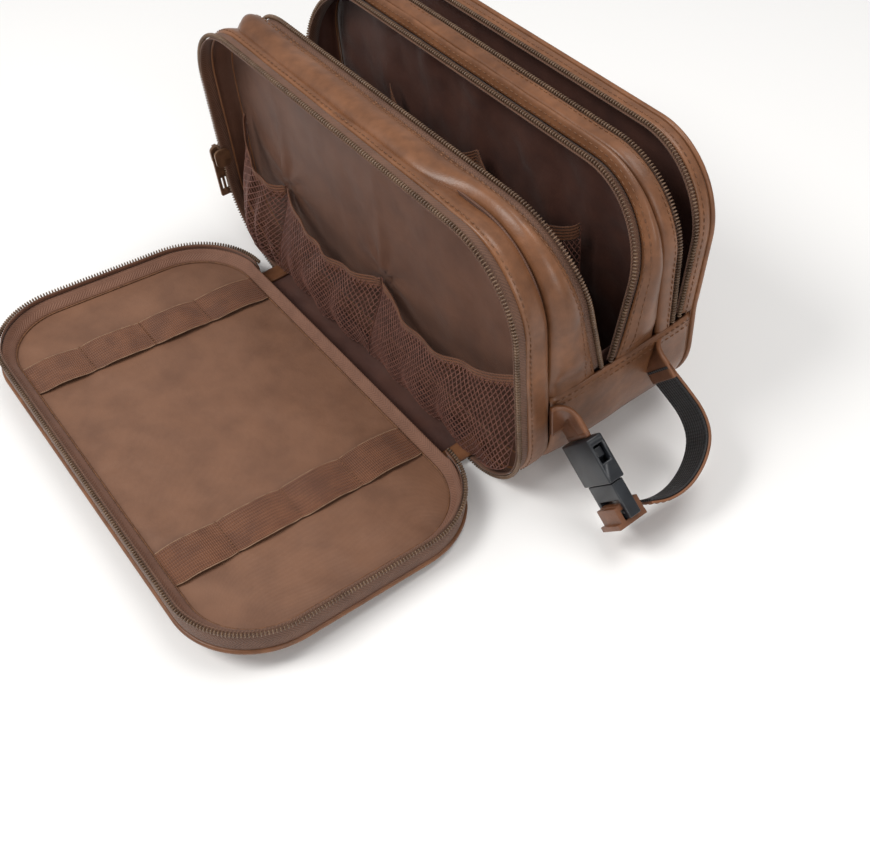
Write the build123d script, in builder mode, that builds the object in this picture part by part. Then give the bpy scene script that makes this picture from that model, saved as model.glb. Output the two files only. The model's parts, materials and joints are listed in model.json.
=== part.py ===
"""Zipped shaving kit bag, modelled open.

The bag is a rounded box that is long in X.  Its front flap is hinged on the floor and lies open,
the two lips of the main zipper lean apart, and the rear panel leans back.  The wrist strap hangs
at the +X end.  Origin: centre of the base, on the floor.  +Z is up and the front faces -Y.
"""

import os
from dataclasses import dataclass
from math import cos, radians, sin

from build123d import *

os.makedirs("parts", exist_ok=True)

# ---- driving dimensions, mm and degrees ---------------------------------------------------------
LENGTH = 265.0  # along X
HEIGHT = 148.0  # along Z
DEPTH = 125.0  # along Y, zipped shut
CORNER = 42.0  # radius of the four corners of the long outline
WALL = 2.2  # leather with its lining
BAND_TOP = 64.0  # the base band covers the zipper ends up to here
FLAT_HALF = 88.0  # half the straight stretch of the base
COIL = 2.0  # zipper coil, across the tape

FRONT_FACE = -DEPTH / 2
REAR_FACE = DEPTH / 2
FRONT_ZIP = -47.0  # root half of the front zipper
FRONT_SEAM = -28.0  # front gusset meets the main gusset
MAIN_ZIP = 5.0  # middle of the main zipper
REAR_SEAM = 37.0  # main gusset meets the rear gusset
REAR_ZIP = 49.0  # middle of the rear zipper
LIP = 8.0  # width of each lip of the main zipper
ZIP_GAP = 1.0  # half the gap that the sliders' posts run in

FLAP_OPEN = 85.0
FRONT_LIP_LEAN = 11.0
REAR_LIP_LEAN = -14.5
REAR_FLAP_LEAN = -7.0
STRAP_DROOP = 40.0  # the strap's loop hangs this far below level


@dataclass(frozen=True)
class Hinge:
    """A line along X that a wall leans about.  A positive lean tips its top towards -Y."""

    y: float
    z: float
    lean: float


UPRIGHT = Hinge(0, 0, 0)
FLAP = Hinge(-60.0, 3.2, FLAP_OPEN)
FRONT_LIP = Hinge(MAIN_ZIP, 62.0, FRONT_LIP_LEAN)
REAR_LIP = Hinge(MAIN_ZIP, 62.0, REAR_LIP_LEAN)
REAR_FLAP = Hinge(61.0, 65.0, REAR_FLAP_LEAN)


def station(y, hinge=UPRIGHT):
    """Section plane of the zipped bag at y, carried along by its hinge.  Its normal faces out front."""
    lean = radians(hinge.lean)
    base = Plane(origin=(0, hinge.y, hinge.z), x_dir=(1, 0, 0), z_dir=(0, -cos(lean), -sin(lean)))
    return base.offset(hinge.y - y)


def outline(side, top=None, bottom=None, hinge=UPRIGHT, mode=Mode.ADD):
    """Rounded outline of the bag, drawn in by side, top and bottom."""
    top = side if top is None else top
    bottom = side if bottom is None else bottom
    tall = HEIGHT - top - bottom
    with Locations((0, bottom + tall / 2 - hinge.z)):
        RectangleRounded(LENGTH - 2 * side, tall, CORNER - side, mode=mode)


def clear_below(z, hinge=UPRIGHT, half_width=LENGTH):
    """Cut the sketch away below z."""
    with Locations((0, z - hinge.z - HEIGHT / 2)):
        Rectangle(2 * half_width, HEIGHT, mode=Mode.SUBTRACT)


def clear_above(z, hinge=UPRIGHT):
    """Cut the sketch away above z."""
    with Locations((0, z - hinge.z + HEIGHT / 2)):
        Rectangle(2 * LENGTH, HEIGHT, mode=Mode.SUBTRACT)


def save(piece, name):
    """Label a finished piece and write its file."""
    piece.label = name
    export_step(piece, f"parts/{name}.step")


# ---- rings: every gusset, tape, coil and binding that follows the outline -----------------------
@dataclass(frozen=True)
class Ring:
    """A wall that follows the outline from front to back of its stretch of Y."""

    front: float
    back: float
    outer: float
    inner: float
    hinge: Hinge = UPRIGHT
    above: float = -1.0
    top: float = 0.0  # extra draw-in along the top
    gap_half: float = LENGTH  # half width of what is cleared below


FLAP_INSET = 1.2
LEG_END = BAND_TOP + 3.0  # the lips' legs end here
TUCK = 3.0  # the fixed gussets run this far inside the lips
BINDING_BACK = FLAP.y + 5.8
FLAP_EDGE = -48.2  # rim of the flap's half of the front zipper, zipped shut

rings = {
    "front_zip_coil": Ring(FRONT_ZIP, FRONT_ZIP + COIL, 0.4, 2.8, above=2.9, gap_half=FLAT_HALF),
    "front_zip_tape": Ring(FRONT_ZIP + COIL, -41, 0.8, 2.4, above=2.9, gap_half=FLAT_HALF),
    "front_gusset": Ring(-41, FRONT_SEAM, 0, WALL),
    "main_gusset_front": Ring(FRONT_SEAM, -4.6, TUCK, TUCK + 1.2, above=50, top=3.4),
    "main_gusset_rear": Ring(14.6, REAR_SEAM, TUCK, TUCK + 1.2, above=50, top=7.0),
    "rear_gusset": Ring(REAR_SEAM, REAR_ZIP - ZIP_GAP - COIL, 0, WALL, above=BAND_TOP),
    "rear_zip_coil_front": Ring(
        REAR_ZIP - ZIP_GAP - COIL, REAR_ZIP - ZIP_GAP, 0.4, 2.4, above=BAND_TOP
    ),
    "main_lip_front": Ring(
        MAIN_ZIP - ZIP_GAP - LIP, MAIN_ZIP - ZIP_GAP - COIL, 0, WALL, FRONT_LIP, LEG_END
    ),
    "main_coil_front": Ring(
        MAIN_ZIP - ZIP_GAP - COIL, MAIN_ZIP - ZIP_GAP, 0.4, 2.4, FRONT_LIP, LEG_END
    ),
    "main_coil_rear": Ring(
        MAIN_ZIP + ZIP_GAP, MAIN_ZIP + ZIP_GAP + COIL, 0.4, 2.4, REAR_LIP, LEG_END
    ),
    "main_lip_rear": Ring(
        MAIN_ZIP + ZIP_GAP + COIL, MAIN_ZIP + ZIP_GAP + LIP, 0, WALL, REAR_LIP, LEG_END
    ),
    "rear_zip_coil_rear": Ring(
        REAR_ZIP + ZIP_GAP, REAR_ZIP + ZIP_GAP + COIL, 0.4, 2.4, REAR_FLAP, LEG_END
    ),
    "rear_wall": Ring(REAR_ZIP + ZIP_GAP + COIL, 60, 0, WALL, REAR_FLAP, LEG_END),
    "flap_wall": Ring(
        FLAP_EDGE - COIL, -61.2, FLAP_INSET, 2.6, FLAP, above=3.6, gap_half=FLAT_HALF
    ),
    "flap_coil": Ring(
        FLAP_EDGE, FLAP_EDGE - COIL, 0.8, 2.8, FLAP, above=3.6, gap_half=FLAT_HALF
    ),
    "flap_binding": Ring(BINDING_BACK, BINDING_BACK - 3.0, 2.9, 6.5, FLAP),
}
for name, ring in rings.items():
    near, far = sorted((ring.front, ring.back))
    with BuildPart() as wall:
        with BuildSketch(station(far, ring.hinge)):
            outline(ring.outer, ring.outer + ring.top, hinge=ring.hinge)
            outline(ring.inner, ring.inner + ring.top, hinge=ring.hinge, mode=Mode.SUBTRACT)
            if ring.above >= 0:
                clear_below(ring.above, ring.hinge, ring.gap_half)
        extrude(amount=far - near)
    save(wall.part, name)

# ---- sheets: panels and dividers that fill the outline ------------------------------------------


@dataclass(frozen=True)
class Sheet:
    """A flat wall that fills the outline."""

    front: float
    back: float
    inset: float
    hinge: Hinge = UPRIGHT
    above: float = -1.0
    below: float = 2 * HEIGHT


sheets = {
    "front_divider": Sheet(-29.4, FRONT_SEAM, WALL),
    "rear_divider": Sheet(REAR_SEAM, REAR_SEAM + 1.4, WALL),
    "rear_panel_lower": Sheet(60, REAR_FACE, 0, below=BAND_TOP),
    "rear_panel_upper": Sheet(60, REAR_FACE, 0, REAR_FLAP, above=REAR_FLAP.z + 1.0),
    "flap_lining": Sheet(-58.0, -57.2, 2.9, FLAP),
    "flap_pocket_lining": Sheet(-58.8, -58.4, 20, FLAP),
}
for name, sheet in sheets.items():
    with BuildPart() as wall:
        with BuildSketch(station(sheet.back, sheet.hinge)):
            outline(sheet.inset, hinge=sheet.hinge)
            if sheet.above >= 0:
                clear_below(sheet.above, sheet.hinge)
            if sheet.below < HEIGHT:
                clear_above(sheet.below)
        extrude(amount=sheet.back - sheet.front)
    save(wall.part, name)

# ---- base ---------------------------------------------------------------------------------------
BASE_REAR = 60.0

with BuildPart() as base_panel:
    with Locations((0, (FRONT_SEAM + BASE_REAR) / 2, WALL / 2)):
        Box(2 * FLAT_HALF, BASE_REAR - FRONT_SEAM, WALL)
save(base_panel.part, "base_panel")

for side, name in ((-1, "side_band_left"), (1, "side_band_right")):
    with BuildPart() as band:
        with BuildSketch(station(BASE_REAR)):
            outline(0)
            outline(WALL, mode=Mode.SUBTRACT)
            clear_above(BAND_TOP)
            with Locations((side * (FLAT_HALF - LENGTH / 2), HEIGHT / 2)):
                Rectangle(LENGTH, 2 * HEIGHT, mode=Mode.SUBTRACT)
        extrude(amount=BASE_REAR - FRONT_SEAM)
    save(band.part, name)

BOARD = 1.4
with BuildPart() as base_board:
    with Locations((0, (FRONT_SEAM + REAR_SEAM) / 2, WALL + BOARD / 2)):
        Box(2 * FLAT_HALF - 8, REAR_SEAM - FRONT_SEAM, BOARD)
save(base_board.part, "base_board")

LINING_INSET = 4.8
with BuildPart() as main_lining:
    with BuildSketch(station(REAR_SEAM)):
        outline(LINING_INSET)
        outline(LINING_INSET + 0.8, mode=Mode.SUBTRACT)
        clear_above(BAND_TOP)
    extrude(amount=REAR_SEAM - FRONT_SEAM)
save(main_lining.part, "main_lining")

HINGE_STRIP_FRONT = -56.4
with BuildPart() as hinge_strip:
    with Locations((0, (HINGE_STRIP_FRONT - 41) / 2, 1.3)):
        Box(2 * FLAT_HALF - 1, -41 - HINGE_STRIP_FRONT, 2.2)
save(hinge_strip.part, "hinge_strip")

# ---- mesh pockets -------------------------------------------------------------------------------
POCKET_FRONT = -44.0
POCKET_BACK = -29.4
POCKET_FLOOR = 6.0
POCKET_TOP = 76.0
MESH = 1.0
POCKET_CORNER = 24.0
ELASTIC_TALL = 9.0
POCKETS = {"left": (-120.0, -88.0), "middle": (-85.0, 3.0), "right": (6.0, 118.0)}

for side, (low, high) in POCKETS.items():
    middle, tall = (low + high) / 2, POCKET_TOP - POCKET_FLOOR
    with BuildPart() as pocket:
        for inset, mode in ((0, Mode.ADD), (MESH, Mode.SUBTRACT)):
            with BuildSketch(station(POCKET_BACK)) as face:
                with Locations((middle, POCKET_FLOOR + inset + tall / 2)):
                    Rectangle(high - low - 2 * inset, tall)
                # The outer lower corners are rounded with the bag.
                if side != "middle":
                    lower = face.vertices().group_by(Axis.Y)[0].sort_by(Axis.X)
                    fillet(lower[0 if side == "left" else -1], POCKET_CORNER - inset)
            extrude(amount=POCKET_BACK - POCKET_FRONT - inset, mode=mode)
    save(pocket.part, f"mesh_pocket_{side}")

with BuildPart() as pocket_elastic:
    for low, high in POCKETS.values():
        with Locations(((low + high) / 2, POCKET_FRONT - 0.7, POCKET_TOP - ELASTIC_TALL / 2)):
            Box(high - low, 1.4, ELASTIC_TALL)
save(pocket_elastic.part, "pocket_elastic")

INNER_LOW, INNER_HIGH = -70.0, 84.0
INNER_FRONT = 29.0
INNER_TOP = 102.0
inner_mid = (INNER_LOW + INNER_HIGH) / 2
with BuildPart() as inner_mesh_pocket:
    with Locations((inner_mid, (INNER_FRONT + REAR_SEAM) / 2, (8 + INNER_TOP) / 2)):
        Box(INNER_HIGH - INNER_LOW, REAR_SEAM - INNER_FRONT, INNER_TOP - 8)
    with Locations((inner_mid, (INNER_FRONT + MESH + REAR_SEAM) / 2, INNER_TOP)):
        Box(
            INNER_HIGH - INNER_LOW - 2 * MESH,
            REAR_SEAM - INNER_FRONT - MESH,
            2 * (INNER_TOP - 8 - MESH),
            mode=Mode.SUBTRACT,
        )
save(inner_mesh_pocket.part, "inner_mesh_pocket")

with BuildPart() as inner_elastic:
    with Locations((inner_mid, INNER_FRONT - 0.6, INNER_TOP - ELASTIC_TALL / 2)):
        Box(INNER_HIGH - INNER_LOW, 1.2, ELASTIC_TALL)
save(inner_elastic.part, "inner_elastic")

# ---- front flap ---------------------------------------------------------------------------------
ZIP_OPENING = (218.0, 13.0)  # mouth of the zipped pocket on the flap's outside
ZIP_OPENING_Z = 110.5
PANEL_BACK = -61.2
POST_GAP = 1.4

with BuildPart() as flap_panel:
    with BuildSketch(station(PANEL_BACK, FLAP)):
        outline(FLAP_INSET, hinge=FLAP)
        with Locations((0, ZIP_OPENING_Z - FLAP.z)):
            Rectangle(*ZIP_OPENING, mode=Mode.SUBTRACT)
    extrude(amount=PANEL_BACK - FRONT_FACE)
save(flap_panel.part, "flap_panel")

tape_tall = (ZIP_OPENING[1] - POST_GAP) / 2
for step, name in ((1, "pocket_zip_upper"), (-1, "pocket_zip_lower")):
    with BuildPart() as tape:
        with BuildSketch(station(-61.4, FLAP)):
            with Locations((0, ZIP_OPENING_Z - FLAP.z + step * (POST_GAP + tape_tall) / 2)):
                Rectangle(ZIP_OPENING[0], tape_tall)
        extrude(amount=0.7)
    save(tape.part, name)

with BuildPart() as pocket_end_tabs:
    with BuildSketch(station(FRONT_FACE, FLAP)):
        with Locations((0, ZIP_OPENING_Z - FLAP.z)):
            with GridLocations(ZIP_OPENING[0], 0, 2, 1):
                Rectangle(12, ZIP_OPENING[1] + 2)
    extrude(amount=0.6)
save(pocket_end_tabs.part, "pocket_end_tabs")

BAND_WIDE = 23.0
for x, name in ((-78.0, "elastic_band_left"), (69.0, "elastic_band_right")):
    with BuildPart() as band:
        with BuildSketch(station(-56.0, FLAP)):
            with Locations((x, HEIGHT / 2 - FLAP.z)):
                Rectangle(BAND_WIDE, HEIGHT - 15)
        extrude(amount=1.2)
    save(band.part, name)

# ---- zipper sliders and pullers -----------------------------------------------------------------
SLIDER_LONG = 11.0
SLIDER_WIDE = 9.0
PULLER_LONG = 30.0
PULLER_WIDE = 7.0
PULLER_THICK = 1.6
BAR_HALF = 0.9  # the bar at the puller's top turns under the slider's bridge
EYE = (3.2, 4.3)  # hole below the bar, round the foot of the bridge
EYE_MID = -BAR_HALF - EYE[1] / 2
SIDE = -LENGTH / 2


def post_plane(x, y, z):
    """Plane facing out of the -X end, its local y running up."""
    return Plane(origin=(x, y, z), x_dir=(0, -1, 0), z_dir=(-1, 0, 0))


SLIDERS = {
    "front": (FRONT_ZIP - 0.6, 60.0),
    "main": (MAIN_ZIP, 74.0),
    "rear": (REAR_ZIP, 74.0),
}
for zipper, (y, z) in SLIDERS.items():
    with BuildPart() as slider:
        with BuildSketch(post_plane(SIDE - 0.7, y, z)):
            RectangleRounded(SLIDER_WIDE, SLIDER_LONG, 3)
        extrude(amount=1.8)
        with BuildSketch(post_plane(SIDE + 4.2, y, z)):
            RectangleRounded(SLIDER_WIDE, SLIDER_LONG, 3)
        extrude(amount=1.4)
        with BuildSketch(post_plane(SIDE + 4.2, y, z + 3)):
            Rectangle(0.7, 5)
        extrude(amount=4.9)
        # Bridge that the puller hangs from.
        with BuildSketch(post_plane(SIDE - 2.5, y, z)):
            with GridLocations(0, 6.4, 1, 2):
                Rectangle(2.4, 1.6)
        extrude(amount=2.6)
        with BuildSketch(post_plane(SIDE - 5.1, y, z)):
            Rectangle(2.4, 8)
        extrude(amount=0.9)
    save(slider.part, f"{zipper}_slider")
    with BuildPart() as puller:
        with BuildSketch(post_plane(SIDE - 3.0, y, z)):
            with Locations((0, BAR_HALF - PULLER_LONG / 2)):
                RectangleRounded(PULLER_WIDE, PULLER_LONG, 0.8)
            with Locations((0, EYE_MID)):
                Rectangle(*EYE, mode=Mode.SUBTRACT)
            with Locations((0, -PULLER_LONG + 9)):
                with GridLocations(2.4, 0, 2, 1):
                    Rectangle(1.0, 8, mode=Mode.SUBTRACT)
        extrude(amount=PULLER_THICK)
    save(puller.part, f"{zipper}_puller")

POCKET_SLIDER_X = -95.0
pocket_z = ZIP_OPENING_Z - FLAP.z
with BuildPart() as pocket_slider:
    with BuildSketch(station(FRONT_FACE - 0.9, FLAP)):
        with Locations((POCKET_SLIDER_X, pocket_z)):
            RectangleRounded(SLIDER_LONG, SLIDER_WIDE, 3)
    extrude(amount=1.4)
    with BuildSketch(station(-59.2, FLAP)):
        with Locations((POCKET_SLIDER_X, pocket_z)):
            RectangleRounded(SLIDER_LONG, SLIDER_WIDE, 3)
    extrude(amount=1.2)
    with BuildSketch(station(-59.2, FLAP)):
        with Locations((POCKET_SLIDER_X - 2, pocket_z)):
            Rectangle(5, 0.8)
    extrude(amount=4.4)
    with BuildSketch(station(FRONT_FACE - 2.3, FLAP)):
        with Locations((POCKET_SLIDER_X, pocket_z)):
            with GridLocations(0, 6.4, 1, 2):
                Rectangle(2.4, 1.6)
    extrude(amount=2.6)
    with BuildSketch(station(FRONT_FACE - 4.9, FLAP)):
        with Locations((POCKET_SLIDER_X, pocket_z)):
            Rectangle(2.4, 8)
    extrude(amount=0.9)
save(pocket_slider.part, "pocket_slider")

with BuildPart() as pocket_puller:
    with BuildSketch(station(FRONT_FACE - 2.8, FLAP)):
        with Locations((POCKET_SLIDER_X, pocket_z + BAR_HALF - PULLER_LONG / 2)):
            RectangleRounded(PULLER_WIDE, PULLER_LONG, 0.8)
        with Locations((POCKET_SLIDER_X, pocket_z + EYE_MID)):
            Rectangle(*EYE, mode=Mode.SUBTRACT)
        with Locations((POCKET_SLIDER_X, pocket_z - PULLER_LONG + 9)):
            with GridLocations(2.4, 0, 2, 1):
                Rectangle(1.0, 8, mode=Mode.SUBTRACT)
    extrude(amount=PULLER_THICK)
save(pocket_puller.part, "pocket_puller")

# ---- wrist strap and buckle ---------------------------------------------------------------------
STRAP_THICK = 2.4
STRAP_HALF = 10.0
PIVOT_X = LENGTH / 2 + 4.5
PIVOT_Z = 53.0
ANCHORS = {"front": -29.0, "rear": 26.0}
REAR_PIVOT_Y = 31.0
droop = radians(STRAP_DROOP)
# Local x runs out from the bag along the loop, local y along the bag's Y.
loop_plane = Plane(
    origin=(PIVOT_X, 0, PIVOT_Z),
    x_dir=(cos(droop), 0, -sin(droop)),
    z_dir=(sin(droop), 0, cos(droop)),
)

for side, y in ANCHORS.items():
    with BuildPart() as anchor:
        with Locations((LENGTH / 2 + WALL / 2, y, PIVOT_Z)):
            Box(WALL, 18, 22)
        fillet(anchor.edges().filter_by(Axis.X), 3)
    save(anchor.part, f"strap_anchor_{side}")

NECK_END = 9.0
BUCKLE_Y = -22.0
STRAP_START = (51.0, -11.6)
with BuildPart() as strap:
    with BuildSketch(loop_plane):
        with BuildLine():
            loop = FilletPolyline(
                (NECK_END, REAR_PIVOT_Y + 1.6),
                (30, 36.5),
                (47, 31),
                (56, 14),
                (55.5, -2),
                STRAP_START,
                radius=11,
            )
        trace(loop, line_width=STRAP_THICK)
    extrude(amount=STRAP_HALF, both=True)
    with BuildSketch(loop_plane):
        with Locations((NECK_END / 2, REAR_PIVOT_Y + 1)):
            Rectangle(NECK_END + 0.4, STRAP_THICK)
    extrude(amount=2.5, both=True)
save(strap.part, "strap")

SOCKET_START, SOCKET_END = 12.0, 34.0
BODY_HALF = 4.3
with BuildPart() as socket_strap:
    with BuildSketch(loop_plane):
        with Locations((NECK_END + 1.3, BUCKLE_Y)):
            Rectangle(2.6, STRAP_THICK)
    extrude(amount=STRAP_HALF, both=True)
    with BuildSketch(loop_plane):
        with Locations((NECK_END / 2, BUCKLE_Y)):
            Rectangle(NECK_END + 0.4, STRAP_THICK)
    extrude(amount=2.5, both=True)
save(socket_strap.part, "socket_strap")

MOUTH_HALF, WINDOW_HALF = 10.4, 11.0
WINDOW_START, WINDOW_END = 16.0, 24.5
CAVITY_START = 15.0
across_plane = Plane(
    origin=loop_plane.origin + loop_plane.y_dir * BUCKLE_Y,
    x_dir=loop_plane.x_dir,
    z_dir=loop_plane.y_dir * -1,
)
with BuildPart() as buckle_socket:
    with BuildSketch(loop_plane):
        with Locations(((SOCKET_START + SOCKET_END) / 2, BUCKLE_Y)):
            Rectangle(SOCKET_END - SOCKET_START, 2 * BODY_HALF)
    extrude(amount=12.9, both=True)
    # Cavity whose side walls close in towards the mouth.
    with BuildSketch(across_plane):
        Polygon(
            (CAVITY_START, -9),
            (WINDOW_START, -WINDOW_HALF),
            (WINDOW_END, -WINDOW_HALF),
            (SOCKET_END + 1, -MOUTH_HALF),
            (SOCKET_END + 1, MOUTH_HALF),
            (WINDOW_END, WINDOW_HALF),
            (WINDOW_START, WINDOW_HALF),
            (CAVITY_START, 9),
            align=None,
        )
    extrude(amount=2.5, both=True, mode=Mode.SUBTRACT)
    with BuildSketch(across_plane):
        with Locations(((WINDOW_START + WINDOW_END) / 2, 0)):
            Rectangle(WINDOW_END - WINDOW_START, 40)
    extrude(amount=2.5, both=True, mode=Mode.SUBTRACT)
save(buckle_socket.part, "buckle_socket")

PLUG_END = 52.0
with BuildPart() as buckle_plug:
    with BuildSketch(across_plane):
        with Locations(((SOCKET_END + 0.4 + PLUG_END) / 2, 0)):
            Rectangle(PLUG_END - SOCKET_END - 0.4, 23)
        with Locations((46, 0)):
            Rectangle(6.5, 17.5, mode=Mode.SUBTRACT)
    extrude(amount=3.2, both=True)
    with BuildSketch(across_plane):
        with Locations((SOCKET_END - 4, 0)):
            Rectangle(9, 2.6)
    extrude(amount=1.6, both=True)
save(buckle_plug.part, "buckle_plug")

PRONG_ROOT = SOCKET_END + 0.1
for side, name in ((1, "prong_upper"), (-1, "prong_lower")):
    with BuildPart() as prong:
        with BuildSketch(across_plane):
            Polygon(
                (PRONG_ROOT, side * 4.2),
                (WINDOW_START + 1.6, side * 4.6),
                (WINDOW_START + 0.6, side * 6.4),
                (WINDOW_START + 1.2, side * 10.7),
                (WINDOW_START + 5.8, side * 10.7),
                (WINDOW_START + 7.2, side * 7.4),
                (PRONG_ROOT, side * 7.2),
                align=None,
            )
        extrude(amount=1.9, both=True)
    save(prong.part, name)

with BuildPart() as strap_end:
    with BuildSketch(loop_plane):
        with Locations(((PLUG_END + 0.3 + 1.2), BUCKLE_Y - 1)):
            Rectangle(2.4, 16)
        with Locations((46, BUCKLE_Y)):
            Rectangle(2.4, 9)
        with Locations((49.9, BUCKLE_Y - 5.6)):
            Rectangle(9.6, 2.4)
        with Locations((49.9, BUCKLE_Y + 5.6)):
            Rectangle(9.6, 2.4)
    extrude(amount=8.5, both=True)
save(strap_end.part, "strap_end")
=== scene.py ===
"""Shaving kit bag in faux leather, lining, net and zipper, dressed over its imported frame.

Lengths are in metres.  +X runs to the wrist strap, -Y to the front, +Z up.  The walls are laid out
zipped shut, as rings of the bag's rounded outline at stations along Y, and are then carried to the
open rest pose by the same leans that the frame's joints have.
"""

from __future__ import annotations

import json
import logging
import math
from dataclasses import dataclass, field
from enum import Enum
from typing import Callable, Optional, Sequence

import bmesh
import bpy
import numpy as np
from mathutils import Matrix, Vector, noise

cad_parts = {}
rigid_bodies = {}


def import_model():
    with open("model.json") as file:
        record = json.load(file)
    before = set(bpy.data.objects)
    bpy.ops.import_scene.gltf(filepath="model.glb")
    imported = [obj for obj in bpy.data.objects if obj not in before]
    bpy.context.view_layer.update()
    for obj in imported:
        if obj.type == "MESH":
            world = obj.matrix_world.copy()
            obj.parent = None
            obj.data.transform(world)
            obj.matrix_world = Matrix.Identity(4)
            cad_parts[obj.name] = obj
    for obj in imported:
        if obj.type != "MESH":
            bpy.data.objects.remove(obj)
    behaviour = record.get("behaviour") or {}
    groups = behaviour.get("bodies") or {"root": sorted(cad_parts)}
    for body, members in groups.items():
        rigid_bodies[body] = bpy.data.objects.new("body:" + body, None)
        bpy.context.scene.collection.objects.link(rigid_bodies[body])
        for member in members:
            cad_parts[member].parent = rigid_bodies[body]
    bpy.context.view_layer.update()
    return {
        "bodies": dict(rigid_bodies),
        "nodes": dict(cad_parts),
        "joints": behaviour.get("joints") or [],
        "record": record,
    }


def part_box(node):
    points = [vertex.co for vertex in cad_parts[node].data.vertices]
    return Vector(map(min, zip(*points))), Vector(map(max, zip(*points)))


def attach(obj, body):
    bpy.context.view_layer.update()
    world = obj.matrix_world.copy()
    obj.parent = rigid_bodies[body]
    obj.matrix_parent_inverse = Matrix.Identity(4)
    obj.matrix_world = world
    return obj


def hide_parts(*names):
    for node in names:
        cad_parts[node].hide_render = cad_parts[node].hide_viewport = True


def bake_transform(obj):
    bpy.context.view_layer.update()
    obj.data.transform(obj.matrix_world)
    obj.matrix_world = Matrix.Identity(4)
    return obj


log = logging.getLogger("kit_bag")

MM = 0.001
Grid = np.ndarray  # points, shaped (along, across, 3)
Colour = tuple[float, float, float]
Piece = bpy.types.Object
Socket = bpy.types.NodeSocket
Tree = bpy.types.GeometryNodeTree


# ---- small maths ---------------------------------------------------------------------------------
def smooth(t: np.ndarray | float) -> np.ndarray | float:
    """Smooth step of t, held to 0..1."""
    t = np.clip(t, 0.0, 1.0)
    return t * t * (3 - 2 * t)


def ripple(points: Grid, size: float, seed: float, stretch: Sequence[float] = (1, 1, 1)) -> np.ndarray:
    """Even noise from -1 to 1 over points.

    Args:
        points: Any array of points, last axis x, y, z.
        size: Size of one bump, in metres.
        seed: Offset that picks the pattern.
        stretch: How much longer the bumps are along each axis.

    Returns:
        One value for each point.
    """
    flat = points.reshape(-1, 3) / (np.array(stretch) * size) + seed
    values = [noise.noise(Vector(p)) for p in flat]
    return np.array(values).reshape(points.shape[:-1])


def upright(pairs: np.ndarray, y: float = 0.0) -> np.ndarray:
    """Pairs (x, z), shaped (n, 2), as points or directions in space at one y."""
    return np.stack([pairs[:, 0], np.full(len(pairs), y), pairs[:, 1]], -1)


def in_mm(*pairs: tuple[float, float]) -> list[tuple[float, float]]:
    """Pairs given in millimetres, in metres."""
    return [(a * MM, b * MM) for a, b in pairs]


def held_edges(count: int, rate: float) -> np.ndarray:
    """Weights across a strip: 0 at both long edges, 1 between, rising faster with a higher rate."""
    share = np.linspace(0, 1, count)
    return smooth(share * rate) * smooth((1 - share) * rate)


def normals_of(grid: Grid, closed: bool) -> Grid:
    """Unit normals of a grid, from its neighbours along and across."""
    if closed:
        along = np.roll(grid, -1, 0) - np.roll(grid, 1, 0)
    else:
        along = np.gradient(grid, axis=0)
    across = np.gradient(grid, axis=1)
    out = np.cross(along, across)
    return out / np.maximum(np.linalg.norm(out, axis=-1, keepdims=True), 1e-9)


class Run(Enum):
    """The stretch of the outline that a wall follows."""

    RING = "all the way round"
    HORSESHOE = "round, but open along the flat of the base"
    ARCH = "over the top, down to a height on each side"
    CRADLE = "under the base, up to a height on each side"


@dataclass(frozen=True)
class Lean:
    """A hinge line along X, and how far what it carries leans at rest (positive tips to the front)."""

    y: float = 0.0
    z: float = 0.0
    angle: float = 0.0

    def carry(self, points: Grid, weight: np.ndarray | float = 1.0) -> Grid:
        """Points of the zipped bag, moved to where this lean leaves them at rest.

        Args:
            points: Points laid out zipped shut.
            weight: Share of the move, one for all or one for each point.

        Returns:
            The moved points.
        """
        c, s = math.cos(self.angle), math.sin(self.angle)
        y, z = points[..., 1] - self.y, points[..., 2] - self.z
        moved = points.copy()
        moved[..., 1] = self.y + y * c - z * s
        moved[..., 2] = self.z + y * s + z * c
        share = np.asarray(weight)
        if share.ndim:
            share = share[..., None]
        return points + (moved - points) * share


UPRIGHT = Lean()


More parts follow.
